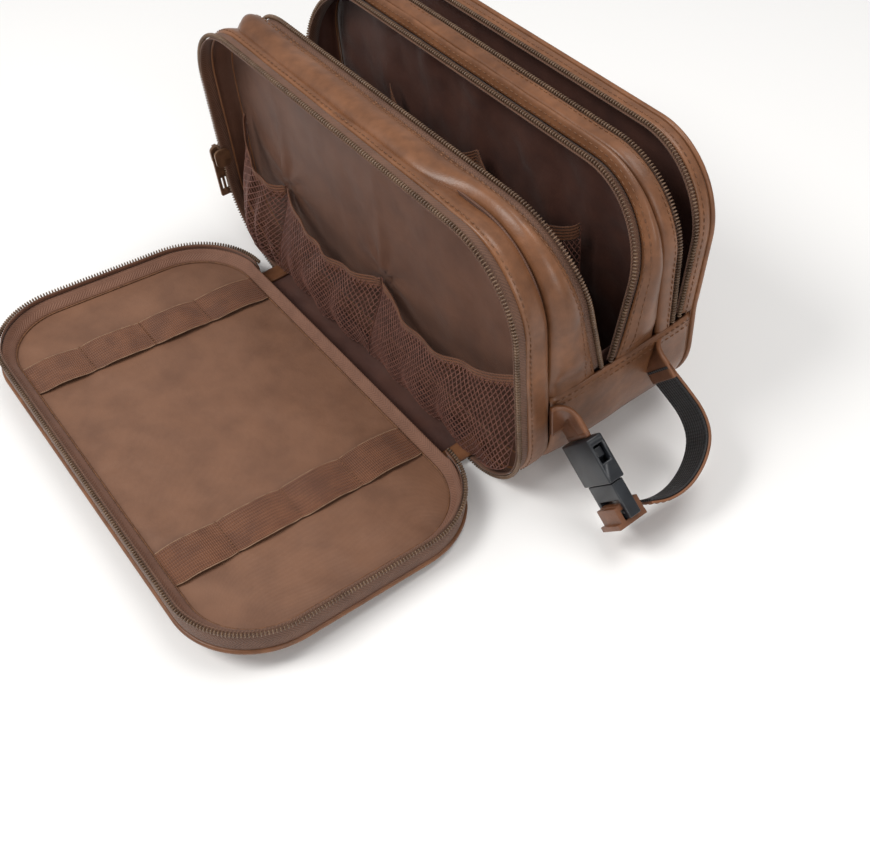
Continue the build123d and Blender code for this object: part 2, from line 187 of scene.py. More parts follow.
@dataclass(frozen=True)
class Outline:
    """The bag's long rounded outline in the XZ plane, standing on z = 0."""

    half: float
    height: float
    corner: float

    @property
    def flat(self) -> float:
        """Half the straight stretch of the base."""
        return self.half - self.corner

    def width_at(self, z: np.ndarray, inset: float = 0.0) -> np.ndarray:
        """Half width of the outline, drawn in by inset, at each height."""
        radius = self.corner - inset
        middle = self.height / 2
        over = np.abs(z - middle) - (middle - self.corner)
        over = np.clip(over, 0, radius)
        return self.flat + np.sqrt(np.maximum(radius**2 - over**2, 0))

    def depth_inside(self, x: np.ndarray, z: np.ndarray) -> np.ndarray:
        """Distance from each point in to the outline, positive inside."""
        qx = np.abs(x) - self.flat
        qz = np.abs(z - self.height / 2) - (self.height / 2 - self.corner)
        outside = np.hypot(np.maximum(qx, 0), np.maximum(qz, 0))
        return self.corner - outside - np.minimum(np.maximum(qx, qz), 0)

    def trace(self, run: Run, step: float, reach: float = 0.0) -> tuple[np.ndarray, np.ndarray, np.ndarray]:
        """Points along a stretch of the outline.

        Args:
            run: Which stretch.
            step: Spacing of the points.
            reach: Height where an arch or a cradle ends.

        Returns:
            Places (n, 2), outward normals (n, 2) and the length run so far (n,).
        """
        quarter = self.corner * math.pi / 2
        side = self.height - 2 * self.corner
        # Stretches from the middle of the base, left, over the top and back, as (length, kind).
        pieces = [(self.flat, 0), (quarter, 1), (side, 2), (quarter, 3), (2 * self.flat, 4)]
        pieces += [(quarter, 5), (side, 6), (quarter, 7), (self.flat, 8)]
        total = sum(length for length, _ in pieces)
        starts = {
            Run.RING: (0.0, total),
            Run.HORSESHOE: (self.flat, total - self.flat),
            Run.ARCH: (self.flat + quarter + reach - self.corner,) * 2,
            Run.CRADLE: (self.flat + quarter + reach - self.corner,) * 2,
        }
        first, last = starts[run]
        if run is Run.ARCH:
            last = total - first
        if run is Run.CRADLE:
            first, last = -first, first
        count = max(8, round((last - first) / step))
        lengths = np.linspace(first, last, count + 1)
        if run is Run.RING:
            lengths = lengths[:-1]
        places, outs = [], []
        for s in lengths % total:
            for length, kind in pieces:
                if s <= length:
                    break
                s -= length
            places.append(self._place(kind, s))
            outs.append(self._out(kind, s))
        return np.array(places), np.array(outs), lengths - first

    def _out(self, kind: int, s: float) -> tuple[float, float]:
        """Outward normal at length s into one stretch."""
        straight = {0: (0, -1), 2: (-1, 0), 4: (0, 1), 6: (1, 0), 8: (0, -1)}
        if kind in straight:
            return straight[kind]
        turn = s / self.corner
        start = {1: -math.pi / 2, 3: math.pi, 5: math.pi / 2, 7: 0.0}[kind]
        return math.cos(start - turn), math.sin(start - turn)

    def _place(self, kind: int, s: float) -> tuple[float, float]:
        """Place at length s into one stretch."""
        r, flat, high = self.corner, self.flat, self.height - self.corner
        straight = {
            0: (-s, 0.0),
            2: (-self.half, r + s),
            4: (-flat + s, self.height),
            6: (self.half, high - s),
            8: (flat - s, 0.0),
        }
        if kind in straight:
            return straight[kind]
        centre = {1: (-flat, r), 3: (-flat, high), 5: (flat, high), 7: (flat, r)}[kind]
        out = self._out(kind, s)
        return centre[0] + r * out[0], centre[1] + r * out[1]


# ---- finishes ------------------------------------------------------------------------------------
class Weave(Enum):
    """How a finish is patterned."""

    LEATHER = "grain and mottling"
    TWILL = "fine diagonal ribs"
    TAPE = "herringbone"
    RIBBED = "lengthwise ribs"
    YARN = "twisted thread"
    MOULDED = "moulded plastic"
    METAL = "painted metal"


class Nodes:
    """Short hand for building one material's node tree."""

    def __init__(self, name: str) -> None:
        """Start an empty tree with a shader and an output."""
        self.material = bpy.data.materials.new(name)
        self.material.use_nodes = True
        self.tree = self.material.node_tree
        self.tree.nodes.clear()
        output = self.add("ShaderNodeOutputMaterial")
        self.shader = self.add("ShaderNodeBsdfPrincipled")
        self.link(self.shader.outputs[0], output.inputs["Surface"])
        self.coordinates = self.add("ShaderNodeTexCoord")

    def add(self, kind: str, **values: object) -> bpy.types.Node:
        """Add a node.  Keyword names are its attributes, or its inputs with _ for a space."""
        node = self.tree.nodes.new(kind)
        for key, value in values.items():
            if hasattr(node, key):
                setattr(node, key, value)
            else:
                node.inputs[key.replace("_", " ")].default_value = value
        return node

    def link(self, source: Socket, target: Socket) -> None:
        """Join two sockets."""
        self.tree.links.new(source, target)

    def math(self, operation: str, a: object, b: object = 0.0) -> Socket:
        """Result of a math node on two sockets or numbers."""
        node = self.add("ShaderNodeMath", operation=operation)
        for socket, value in zip(node.inputs, (a, b)):
            if isinstance(value, Socket):
                self.link(value, socket)
            else:
                socket.default_value = value
        return node.outputs[0]

    def clouds(self, size: float, detail: float = 4.0, rough: float = 0.55) -> Socket:
        """Noise over the object, with features of about size metres."""
        node = self.add("ShaderNodeTexNoise", Scale=1 / size, Detail=detail, Roughness=rough)
        self.link(self.coordinates.outputs["Object"], node.inputs["Vector"])
        return node.outputs["Fac"]

    def ramp(self, value: Socket, stops: Sequence[tuple[float, Colour]]) -> Socket:
        """Colour ramp over value."""
        node = self.add("ShaderNodeValToRGB")
        self.link(value, node.inputs["Fac"])
        elements = node.color_ramp.elements
        while len(elements) < len(stops):
            elements.new(0.5)
        for element, (place, colour) in zip(elements, stops):
            element.position = place
            element.color = (*colour, 1)
        return node.outputs["Color"]

    def mix(self, share: object, a: object, b: object) -> Socket:
        """Mix of two colours by share."""
        node = self.add("ShaderNodeMix", data_type="RGBA")
        for socket, value in zip((node.inputs[0], node.inputs[6], node.inputs[7]), (share, a, b)):
            if isinstance(value, Socket):
                self.link(value, socket)
            elif isinstance(value, tuple):
                socket.default_value = (*value, 1)
            else:
                socket.default_value = value
        return node.outputs[2]

    def bump(self, height: Socket, depth: float, strength: float = 1.0) -> None:
        """Bump the shader by height, depth metres deep, over any bump it has already."""
        node = self.add("ShaderNodeBump", Strength=strength, Distance=depth)
        self.link(height, node.inputs["Height"])
        normal = self.shader.inputs["Normal"]
        if normal.is_linked:
            self.link(normal.links[0].from_socket, node.inputs["Normal"])
        self.link(node.outputs[0], normal)


@dataclass(frozen=True)
class Finish:
    """One procedural finish.  Colours are linear."""

    name: str
    weave: Weave
    colour: Colour
    shade: Colour
    roughness: float = 0.6
    pitch: float = 1.0 * MM
    worn: Optional[Colour] = None
    sheen: float = 0.0

    def build(self) -> bpy.types.Material:
        """Make the material.

        Returns:
            The new material.
        """
        nodes = Nodes(self.name)
        shader = nodes.shader
        shader.inputs["Sheen Weight"].default_value = self.sheen
        shader.inputs["Sheen Roughness"].default_value = 0.45
        makers = {
            Weave.LEATHER: self._leather,
            Weave.TWILL: self._twill,
            Weave.TAPE: self._tape,
            Weave.RIBBED: self._ribbed,
            Weave.YARN: self._yarn,
            Weave.MOULDED: self._moulded,
            Weave.METAL: self._metal,
        }
        makers[self.weave](nodes)
        return nodes.material

    def _base(self, nodes: Nodes, size: float, low: float = 0.34, high: float = 0.66) -> Socket:
        """Colour that drifts between shade and colour."""
        return nodes.ramp(nodes.clouds(size, 6.0), [(low, self.shade), (high, self.colour)])

    def _rough(self, nodes: Nodes, size: float, spread: float) -> None:
        """Roughness that varies by spread about its value."""
        value = nodes.math("MULTIPLY_ADD", nodes.clouds(size), 2 * spread)
        value.node.inputs[2].default_value = self.roughness - spread
        nodes.link(value, nodes.shader.inputs["Roughness"])

    def _leather(self, nodes: Nodes) -> None:
        """Mottled hide with fine grain, creases and worn edges."""
        colour = self._base(nodes, 26 * MM)
        fine = nodes.ramp(nodes.clouds(5 * MM, 5.0), [(0.35, (0.80,) * 3), (0.7, (1.1,) * 3)])
        speckle = nodes.add("ShaderNodeMix", data_type="RGBA", blend_type="MULTIPLY")
        speckle.inputs[0].default_value = 0.75
        nodes.link(colour, speckle.inputs[6])
        nodes.link(fine, speckle.inputs[7])
        colour = speckle.outputs[2]
        if self.worn:
            rim = nodes.add("ShaderNodeAttribute", attribute_name="wear")
            rubbed = nodes.math("MULTIPLY", rim.outputs["Fac"], nodes.clouds(9 * MM, 6.0, 0.7))
            colour = nodes.mix(nodes.math("MULTIPLY", rubbed, 0.4), colour, self.worn)
        nodes.link(colour, nodes.shader.inputs["Base Color"])
        self._rough(nodes, 14 * MM, 0.09)
        nodes.shader.inputs["Specular IOR Level"].default_value = 0.42
        cells = nodes.add("ShaderNodeTexVoronoi", Scale=1 / self.pitch, feature="DISTANCE_TO_EDGE")
        nodes.link(nodes.coordinates.outputs["Object"], cells.inputs["Vector"])
        nodes.bump(nodes.clouds(11 * MM, 5.0), 0.5 * MM, 0.5)
        nodes.bump(cells.outputs["Distance"], 0.09 * MM, 0.55)

    def _stripes(self, nodes: Nodes, zigzag: float) -> Socket:
        """Diagonal ribs on the piece's own UV map, turned back every zigzag metres if that isn't 0."""
        parts = nodes.add("ShaderNodeSeparateXYZ")
        nodes.link(nodes.coordinates.outputs["UV"], parts.inputs[0])
        across = parts.outputs["Y"]
        if zigzag:
            across = nodes.math("PINGPONG", across, zigzag)
        slanted = nodes.math("ADD", parts.outputs["X"], across)
        wave = nodes.math("SINE", nodes.math("MULTIPLY", slanted, 2 * math.pi / self.pitch))
        return nodes.math("MULTIPLY_ADD", wave, 0.5)

    def _twill(self, nodes: Nodes) -> None:
        """Lining cloth: diagonal ribs, soft patches, a little sheen."""
        ribs = self._stripes(nodes, 0.0)
        tone = nodes.math("ADD", nodes.math("MULTIPLY", ribs, 0.3), nodes.clouds(18 * MM, 6.0))
        colour = nodes.ramp(tone, [(0.35, self.shade), (0.85, self.colour)])
        nodes.link(colour, nodes.shader.inputs["Base Color"])
        self._rough(nodes, 20 * MM, 0.06)
        nodes.bump(nodes.clouds(16 * MM, 5.0), 1.1 * MM, 0.55)
        nodes.bump(ribs, 0.10 * MM, 0.5)

    def _tape(self, nodes: Nodes) -> None:
        """Zipper tape and binding: herringbone."""
        ribs = self._stripes(nodes, 3.2 * MM)
        tone = nodes.math("ADD", nodes.math("MULTIPLY", ribs, 0.35), nodes.clouds(12 * MM, 6.0))
        colour = nodes.ramp(tone, [(0.35, self.shade), (0.9, self.colour)])
        nodes.link(colour, nodes.shader.inputs["Base Color"])
        self._rough(nodes, 20 * MM, 0.05)
        nodes.bump(ribs, 0.2 * MM, 0.8)

    def _ribbed(self, nodes: Nodes) -> None:
        """Elastic and webbing: threads that cross the modelled ribs."""
        parts = nodes.add("ShaderNodeSeparateXYZ")
        nodes.link(nodes.coordinates.outputs["UV"], parts.inputs[0])
        wave = nodes.math("SINE", nodes.math("MULTIPLY", parts.outputs["X"], 2 * math.pi / self.pitch))
        rows = nodes.math("SINE", nodes.math("MULTIPLY", parts.outputs["Y"], 2 * math.pi / (1.9 * MM)))
        tone = nodes.math("MULTIPLY_ADD", wave, 0.12)
        nodes.link(nodes.clouds(10 * MM, 6.0), tone.node.inputs[2])
        tone = nodes.math("ADD", tone, nodes.math("MULTIPLY", rows, 0.10))
        colour = nodes.ramp(tone, [(0.3, self.shade), (0.7, self.colour)])
        nodes.link(colour, nodes.shader.inputs["Base Color"])
        self._rough(nodes, 12 * MM, 0.05)
        nodes.bump(rows, 0.22 * MM, 0.7)
        nodes.bump(wave, 0.12 * MM, 0.7)

    def _yarn(self, nodes: Nodes) -> None:
        """Thread and net: short flecks of light and dark."""
        nodes.link(self._base(nodes, 3 * MM), nodes.shader.inputs["Base Color"])
        self._rough(nodes, 4 * MM, 0.08)
        nodes.bump(nodes.clouds(0.6 * MM, 3.0), 0.1 * MM, 0.5)

    def _moulded(self, nodes: Nodes) -> None:
        """Moulded plastic with a fine spark-eroded texture."""
        nodes.link(self._base(nodes, 9 * MM), nodes.shader.inputs["Base Color"])
        self._rough(nodes, 7 * MM, 0.07)
        nodes.bump(nodes.clouds(0.5 * MM, 2.0), 0.04 * MM, 0.5)

    def _metal(self, nodes: Nodes) -> None:
        """Bronze paint over cast zinc, rubbed in places."""
        nodes.link(self._base(nodes, 5 * MM), nodes.shader.inputs["Base Color"])
        nodes.shader.inputs["Metallic"].default_value = 0.55
        self._rough(nodes, 4 * MM, 0.10)
        nodes.bump(nodes.clouds(0.9 * MM, 3.0), 0.05 * MM, 0.4)


LEATHER = Finish(
    "leather", Weave.LEATHER, (0.225, 0.095, 0.043), (0.128, 0.052, 0.023), 0.38, 1.3 * MM,
    worn=(0.34, 0.15, 0.065),
)
STRAP_LEATHER = Finish(
    "strap_leather", Weave.LEATHER, (0.205, 0.084, 0.040), (0.115, 0.045, 0.022), 0.40, 1.2 * MM,
    worn=(0.42, 0.17, 0.065),
)
PIPING = Finish(
    "piping", Weave.LEATHER, (0.25, 0.105, 0.045), (0.15, 0.060, 0.026), 0.40, 1.0 * MM,
    worn=(0.42, 0.19, 0.08),
)
FLAP_LINING = Finish(
    "flap_lining", Weave.TWILL, (0.210, 0.098, 0.053), (0.135, 0.060, 0.032), 0.60, 0.9 * MM, sheen=0.08
)
WALL_LINING = Finish(
    "wall_lining", Weave.TWILL, (0.135, 0.057, 0.031), (0.080, 0.032, 0.018), 0.60, 0.9 * MM, sheen=0.08
)
DARK_LINING = Finish(
    "dark_lining", Weave.TWILL, (0.088, 0.032, 0.020), (0.042, 0.014, 0.010), 0.55, 0.9 * MM, sheen=0.08
)
BINDING = Finish(
    "binding", Weave.TAPE, (0.225, 0.105, 0.064), (0.150, 0.066, 0.039), 0.68, 1.6 * MM, sheen=0.1
)
TAPE = Finish("tape", Weave.TAPE, (0.150, 0.070, 0.040), (0.090, 0.040, 0.023), 0.68, 1.6 * MM, sheen=0.08)
ELASTIC = Finish(
    "elastic", Weave.RIBBED, (0.185, 0.070, 0.030), (0.110, 0.039, 0.017), 0.6, 1.0 * MM, sheen=0.08
)
WEBBING = Finish("webbing", Weave.RIBBED, (0.016, 0.016, 0.018), (0.007, 0.007, 0.008), 0.6, 1.6 * MM)
COIL = Finish("zipper_coil", Weave.MOULDED, (0.185, 0.112, 0.068), (0.10, 0.057, 0.034), 0.28)
THREAD = Finish("thread", Weave.YARN, (0.20, 0.085, 0.034), (0.11, 0.045, 0.020), 0.6)
PALE_THREAD = Finish("pale_thread", Weave.YARN, (0.33, 0.20, 0.125), (0.20, 0.11, 0.065), 0.7)
NET = Finish("net", Weave.YARN, (0.20, 0.080, 0.055), (0.110, 0.040, 0.028), 0.5, sheen=0.08)
METAL = Finish("zipper_metal", Weave.METAL, (0.24, 0.13, 0.07), (0.12, 0.062, 0.036), 0.36)
BUCKLE = Finish("buckle_plastic", Weave.MOULDED, (0.018, 0.021, 0.026), (0.011, 0.012, 0.015), 0.34)
BOARD = Finish("board", Weave.MOULDED, (0.06, 0.045, 0.035), (0.04, 0.03, 0.025), 0.7)

_made: dict[str, bpy.types.Material] = {}


def material(finish: Finish) -> bpy.types.Material:
    """The finish's material, built the first time it is asked for."""
    if finish.name not in _made:
        _made[finish.name] = finish.build()
    return _made[finish.name]


# ---- meshes --------------------------------------------------------------------------------------
def new_object(
    name: str, verts: np.ndarray, faces: Sequence[Sequence[int]], finishes: Sequence[Finish]
) -> Piece:
    """Link a smooth-shaded mesh object at the origin.

    Args:
        name: Name of the piece.
        verts: Points (n, 3).
        faces: Corner lists.
        finishes: One finish for each material slot.

    Returns:
        The new object.
    """
    mesh = bpy.data.meshes.new(name)
    mesh.from_pydata(verts.reshape(-1, 3).tolist(), [], [list(f) for f in faces])
    mesh.update()
    for finish in finishes:
        mesh.materials.append(material(finish))
    mesh.polygons.foreach_set("use_smooth", [True] * len(mesh.polygons))
    piece = bpy.data.objects.new(name, mesh)
    bpy.context.scene.collection.objects.link(piece)
    return piece


def cloth(
    name: str,
    face: Grid,
    thick: float,
    finishes: Sequence[Finish],
    closed: bool = False,
    facing: Optional[Sequence[float]] = None,
    uv: Optional[np.ndarray] = None,
    wear: float = 0.0,
    turned: float = 1.0,
) -> Piece:
    """A closed sheet of cloth or leather with a show side, a back and rims.

    Args:
        name: Name of the piece.
        face: Its show side, as a grid of points.
        thick: How far the back lies behind the show side.
        finishes: Show side, then the back if it differs.
        closed: Whether the grid joins up along its first axis.
        facing: A direction that the show side faces.  Without it, it faces away from its middle.
        uv: Place on the cloth of each grid point, in metres.  Without it, lengths along the grid.
        wear: Width of the worn band along the two long edges.
        turned: 1 if it faces away from its middle, -1 if towards it.

    Returns:
        The new object.
    """
    out = normals_of(face, closed)
    if facing is None:
        side = turned * float((out * (face - face.reshape(-1, 3).mean(0))).sum())
    else:
        side = float((out * np.array(facing)).sum())
    sign = 1.0 if side >= 0 else -1.0
    rows, cols = face.shape[:2]
    back = face - out * sign * thick
    if uv is None:
        along = np.concatenate([[0], np.cumsum(np.linalg.norm(np.diff(face, axis=0), axis=2).mean(1))])
        across = np.concatenate([[0], np.cumsum(np.linalg.norm(np.diff(face, axis=1), axis=2).mean(0))])
        uv = np.stack(np.meshgrid(along, across, indexing="ij"), -1)
    verts = np.concatenate([face.reshape(-1, 3), back.reshape(-1, 3)])
    index = np.arange(rows * cols).reshape(rows, cols)
    faces: list[tuple[int, ...]] = []
    slots: list[int] = []
    behind = rows * cols
    last = rows if closed else rows - 1

    def quad(a: int, b: int, c: int, d: int, slot: int) -> None:
        """Add one face, wound to face away from the back."""
        faces.append((a, b, c, d) if sign > 0 else (d, c, b, a))
        slots.append(slot)

    for i in range(last):
        n = (i + 1) % rows
        for j in range(cols - 1):
            a, b, c, d = index[i, j], index[n, j], index[n, j + 1], index[i, j + 1]
            quad(a, b, c, d, 0)
            quad(d + behind, c + behind, b + behind, a + behind, 1)
        for j, turn in ((0, False), (cols - 1, True)):
            a, b = (index[i, j], index[n, j]) if turn else (index[n, j], index[i, j])
            quad(a, b, b + behind, a + behind, 0)
    if not closed:
        for j in range(cols - 1):
            for i, turn in ((0, True), (rows - 1, False)):
                a, b = (index[i, j], index[i, j + 1]) if turn else (index[i, j + 1], index[i, j])
                quad(a, b, b + behind, a + behind, 0)
    piece = new_object(name, verts, faces, finishes)
    mesh = piece.data
    if len(finishes) > 1:
        mesh.polygons.foreach_set("material_index", slots)
    flat = np.concatenate([uv.reshape(-1, 2), uv.reshape(-1, 2)])
    corners = np.zeros(len(mesh.loops), np.int32)
    mesh.loops.foreach_get("vertex_index", corners)
    placed = flat[corners]
    if closed:
        # Where the ring closes, the faces run on to its full length instead of back to 0.
        final = np.repeat(np.arange(len(mesh.polygons)) // (2 * (cols - 1) + 2) == rows - 1, 4)
        gap = np.linalg.norm(face[0] - face[-1], axis=1).mean()
        placed[final & (corners % behind < cols), 0] = uv[-1, 0, 0] + gap
    layer = mesh.uv_layers.new(name="cloth")
    layer.data.foreach_set("uv", placed.astype(np.float32).ravel())
    if wear:
        edge = np.minimum(uv[..., 1] - uv[..., 1].min(), uv[..., 1].max() - uv[..., 1])
        rim = 1 - smooth(edge / wear)
        attribute = mesh.attributes.new("wear", "FLOAT", "POINT")
        attribute.data.foreach_set("value", np.concatenate([rim.ravel(), rim.ravel()]).astype(np.float32))
    return piece


def tube(
    name: str, path: np.ndarray, radius: float, finish: Finish, closed: bool = False, sides: int = 8
) -> Piece:
    """A round cord along a path, its ends closed.

    Args:
        name: Name of the piece.
        path: Points along it (n, 3).
        radius: Its radius.
        finish: Its finish.
        closed: Whether it joins up.
        sides: Sides of its section.

    Returns:
        The new object.
    """
    tangent = (np.roll(path, -1, 0) - np.roll(path, 1, 0)) if closed else np.gradient(path, axis=0)
    tangent /= np.linalg.norm(tangent, axis=1, keepdims=True)
    up = np.array([0.0, 1.0, 0.0])
    first = np.cross(tangent, up)
    first /= np.maximum(np.linalg.norm(first, axis=1, keepdims=True), 1e-9)
    second = np.cross(first, tangent)
    angles = np.linspace(0, 2 * math.pi, sides, endpoint=False)
    rings = np.stack(
        [path + radius * (math.cos(a) * first + math.sin(a) * second) for a in angles], axis=1
    )
    rows = len(path)
    faces: list[list[int]] = []
    for i in range(rows if closed else rows - 1):
        for j in range(sides):
            a, b = i * sides + j, ((i + 1) % rows) * sides + j
            c, d = ((i + 1) % rows) * sides + (j + 1) % sides, i * sides + (j + 1) % sides
            faces.append([a, b, c, d])
    if not closed:
        faces.append(list(range(sides)))
        faces.append([(rows - 1) * sides + j for j in reversed(range(sides))])
    piece = new_object(name, rings, faces, [finish])
    outward(piece)
    return piece


def outward(piece: Piece) -> None:
    """Turn every face of a closed mesh to point out."""
    mesh = bmesh.new()
    mesh.from_mesh(piece.data)
    bmesh.ops.remove_doubles(mesh, verts=mesh.verts, dist=1e-7)
    bmesh.ops.recalc_face_normals(mesh, faces=mesh.faces)
    mesh.to_mesh(piece.data)
    mesh.free()


def softened(node: str, name: str, finish: Finish, width: float, segments: int = 3) -> Piece:
    """A copy of a CAD node with its edges rounded, standing for it.

    Args:
        node: The CAD node.
        name: Name of the new piece.
        finish: Its finish.
        width: Width of the rounded edges.
        segments: Steps in each rounding.

    Returns:
        The new object.
    """
    piece = bpy.data.objects.new(name, bpy.data.objects[node].data.copy())
    bpy.context.scene.collection.objects.link(piece)
    mesh = bmesh.new()
    mesh.from_mesh(piece.data)
    bmesh.ops.remove_doubles(mesh, verts=mesh.verts, dist=1e-6)
    bmesh.ops.dissolve_limit(
        mesh, angle_limit=math.radians(2), verts=mesh.verts, edges=mesh.edges, delimit={"NORMAL"}
    )
    sharp = [e for e in mesh.edges if len(e.link_faces) == 2 and e.calc_face_angle(0) > math.radians(28)]
    bmesh.ops.bevel(
        mesh, geom=sharp, offset=width, segments=segments, affect="EDGES", profile=0.5, clamp_overlap=True
    )
    bmesh.ops.triangulate(mesh, faces=[f for f in mesh.faces if len(f.verts) > 4])
    mesh.to_mesh(piece.data)
    mesh.free()
    piece.data.materials.clear()
    piece.data.materials.append(material(finish))
    piece.data.polygons.foreach_set("use_smooth", [True] * len(piece.data.polygons))
    piece.data.set_sharp_from_angle(angle=math.radians(40))
    return piece


# ---- what repeats: Geometry Nodes ----------------------------------------------------------------
class Repeats:
    """The two node trees that make rows of beads and nets of yarn."""

    def __init__(self) -> None:
        """Build both trees."""
        self.row = self._row_tree()
        self.net = self._net_tree()

    @staticmethod
    def _start(name: str, sizes: Sequence[str]) -> tuple[Tree, bpy.types.Node, bpy.types.Node]:
        """An empty tree with a geometry in and out, number inputs and a material input."""
        tree = bpy.data.node_groups.new(name, "GeometryNodeTree")
        face = tree.interface
        face.new_socket("Geometry", in_out="INPUT", socket_type="NodeSocketGeometry")
        for size in sizes:
            face.new_socket(size, in_out="INPUT", socket_type="NodeSocketFloat")
        face.new_socket("Material", in_out="INPUT", socket_type="NodeSocketMaterial")
        face.new_socket("Geometry", in_out="OUTPUT", socket_type="NodeSocketGeometry")
        return tree, tree.nodes.new("NodeGroupInput"), tree.nodes.new("NodeGroupOutput")

    def _row_tree(self) -> Tree:
        """Beads evenly spaced along a path, lying in its direction: stitches and zipper teeth."""
        tree, start, end = self._start("RowOfBeads", ("Spacing", "Along", "Across", "Proud"))
        add, link = tree.nodes.new, tree.links.new
        curve = add("GeometryNodeMeshToCurve")
        link(start.outputs["Geometry"], curve.inputs[0])
        resample = add("GeometryNodeResampleCurve")
        resample.mode = "LENGTH"
        link(curve.outputs[0], resample.inputs["Curve"])
        link(start.outputs["Spacing"], resample.inputs["Length"])
        bead = add("GeometryNodeMeshUVSphere")
        bead.inputs["Segments"].default_value = 8
        bead.inputs["Rings"].default_value = 5
        bead.inputs["Radius"].default_value = 0.5
        scale = add("ShaderNodeCombineXYZ")
        for source, target in (("Along", "X"), ("Across", "Y"), ("Proud", "Z")):
            link(start.outputs[source], scale.inputs[target])
        up = add("GeometryNodeInputNamedAttribute")
        up.data_type = "FLOAT_VECTOR"
        up.inputs["Name"].default_value = "up"
        tangent = add("GeometryNodeInputTangent")
        lie = add("FunctionNodeAlignRotationToVector")
        lie.axis = "X"
        link(tangent.outputs[0], lie.inputs["Vector"])
        stand = add("FunctionNodeAlignRotationToVector")
        stand.axis = "Z"
        stand.pivot_axis = "X"
        link(lie.outputs[0], stand.inputs["Rotation"])
        link(up.outputs["Attribute"], stand.inputs["Vector"])
        place = add("GeometryNodeInstanceOnPoints")
        link(resample.outputs[0], place.inputs["Points"])
        link(bead.outputs["Mesh"], place.inputs["Instance"])
        link(stand.outputs[0], place.inputs["Rotation"])
        link(scale.outputs[0], place.inputs["Scale"])
        self._finish(tree, start, end, place.outputs[0])
        return tree

    def _net_tree(self) -> Tree:
        """Yarn along every edge of a lattice."""
        tree, start, end = self._start("NetOfYarn", ("Radius",))
        add, link = tree.nodes.new, tree.links.new
        curve = add("GeometryNodeMeshToCurve")
        link(start.outputs["Geometry"], curve.inputs[0])
        section = add("GeometryNodeCurvePrimitiveCircle")
        section.inputs["Resolution"].default_value = 4
        link(start.outputs["Radius"], section.inputs["Radius"])
        yarn = add("GeometryNodeCurveToMesh")
        link(curve.outputs[0], yarn.inputs["Curve"])
        link(section.outputs[0], yarn.inputs["Profile Curve"])
        yarn.inputs["Fill Caps"].default_value = True
        self._finish(tree, start, end, yarn.outputs[0])
        return tree

    @staticmethod
    def _finish(tree: Tree, start: bpy.types.Node, end: bpy.types.Node, out: Socket) -> None:
        """End a tree in Realize Instances and Set Material."""
        real = tree.nodes.new("GeometryNodeRealizeInstances")
        tree.links.new(out, real.inputs[0])
        smooth_node = tree.nodes.new("GeometryNodeSetShadeSmooth")
        tree.links.new(real.outputs[0], smooth_node.inputs[0])
        dressed = tree.nodes.new("GeometryNodeSetMaterial")
        tree.links.new(smooth_node.outputs[0], dressed.inputs["Geometry"])
        tree.links.new(start.outputs["Material"], dressed.inputs["Material"])
        tree.links.new(dressed.outputs[0], end.inputs[0])

    @staticmethod
    def _apply(name: str, mesh: bpy.types.Mesh, tree: Tree, sizes: dict[str, float], finish: Finish) -> Piece:
        """Run a tree over a base mesh and keep the result as a plain mesh.

        Args:
            name: Name of the piece.
            mesh: The base mesh.
            tree: The node tree.
            sizes: Its named number inputs.
            finish: Its finish.

        Returns:
            The finished object.
        """
        base = bpy.data.objects.new(name + "_base", mesh)
        bpy.context.scene.collection.objects.link(base)
        modifier = base.modifiers.new("Repeat", "NODES")
        modifier.node_group = tree
        for item in tree.interface.items_tree:
            if item.in_out == "INPUT" and item.name in sizes:
                modifier[item.identifier] = sizes[item.name]
            if item.in_out == "INPUT" and item.name == "Material":
                modifier[item.identifier] = material(finish)
        graph = bpy.context.evaluated_depsgraph_get()
        result = bpy.data.meshes.new_from_object(base.evaluated_get(graph))
        result.name = name
        bpy.data.objects.remove(base)
        piece = bpy.data.objects.new(name, result)
        bpy.context.scene.collection.objects.link(piece)
        return piece

    def beads(
        self, name: str, paths: Sequence[tuple[np.ndarray, np.ndarray, bool]], spacing: float,
        size: tuple[float, float, float], finish: Finish,
    ) -> Piece:
        """Rows of beads along paths.

        Args:
            name: Name of the piece.
            paths: For each row, its points, the direction that stands up from it, and whether it closes.
            spacing: Distance from bead to bead.
            size: Bead's length along, across and proud.
            finish: Its finish.

        Returns:
            The finished object.
        """
        verts, edges, ups, start = [], [], [], 0
        for path, up, closed in paths:
            count = len(path)
            verts.append(path)
            ups.append(np.broadcast_to(up, path.shape))
            edges += [(start + i, start + i + 1) for i in range(count - 1)]
            if closed:
                edges.append((start + count - 1, start))
            start += count
        mesh = bpy.data.meshes.new(name)
        mesh.from_pydata(np.concatenate(verts).tolist(), edges, [])
        attribute = mesh.attributes.new("up", "FLOAT_VECTOR", "POINT")
        attribute.data.foreach_set("vector", np.concatenate(ups).astype(np.float32).ravel())
        sizes = {"Spacing": spacing, "Along": size[0], "Across": size[1], "Proud": size[2]}
        return self._apply(name, mesh, self.row, sizes, finish)

    def netting(
        self, name: str, verts: np.ndarray, edges: Sequence[tuple[int, int]], radius: float, finish: Finish
    ) -> Piece:
        """A net with yarn of one radius along the edges of a lattice."""
        mesh = bpy.data.meshes.new(name)
        mesh.from_pydata(verts.tolist(), edges, [])
        return self._apply(name, mesh, self.net, {"Radius": radius}, finish)


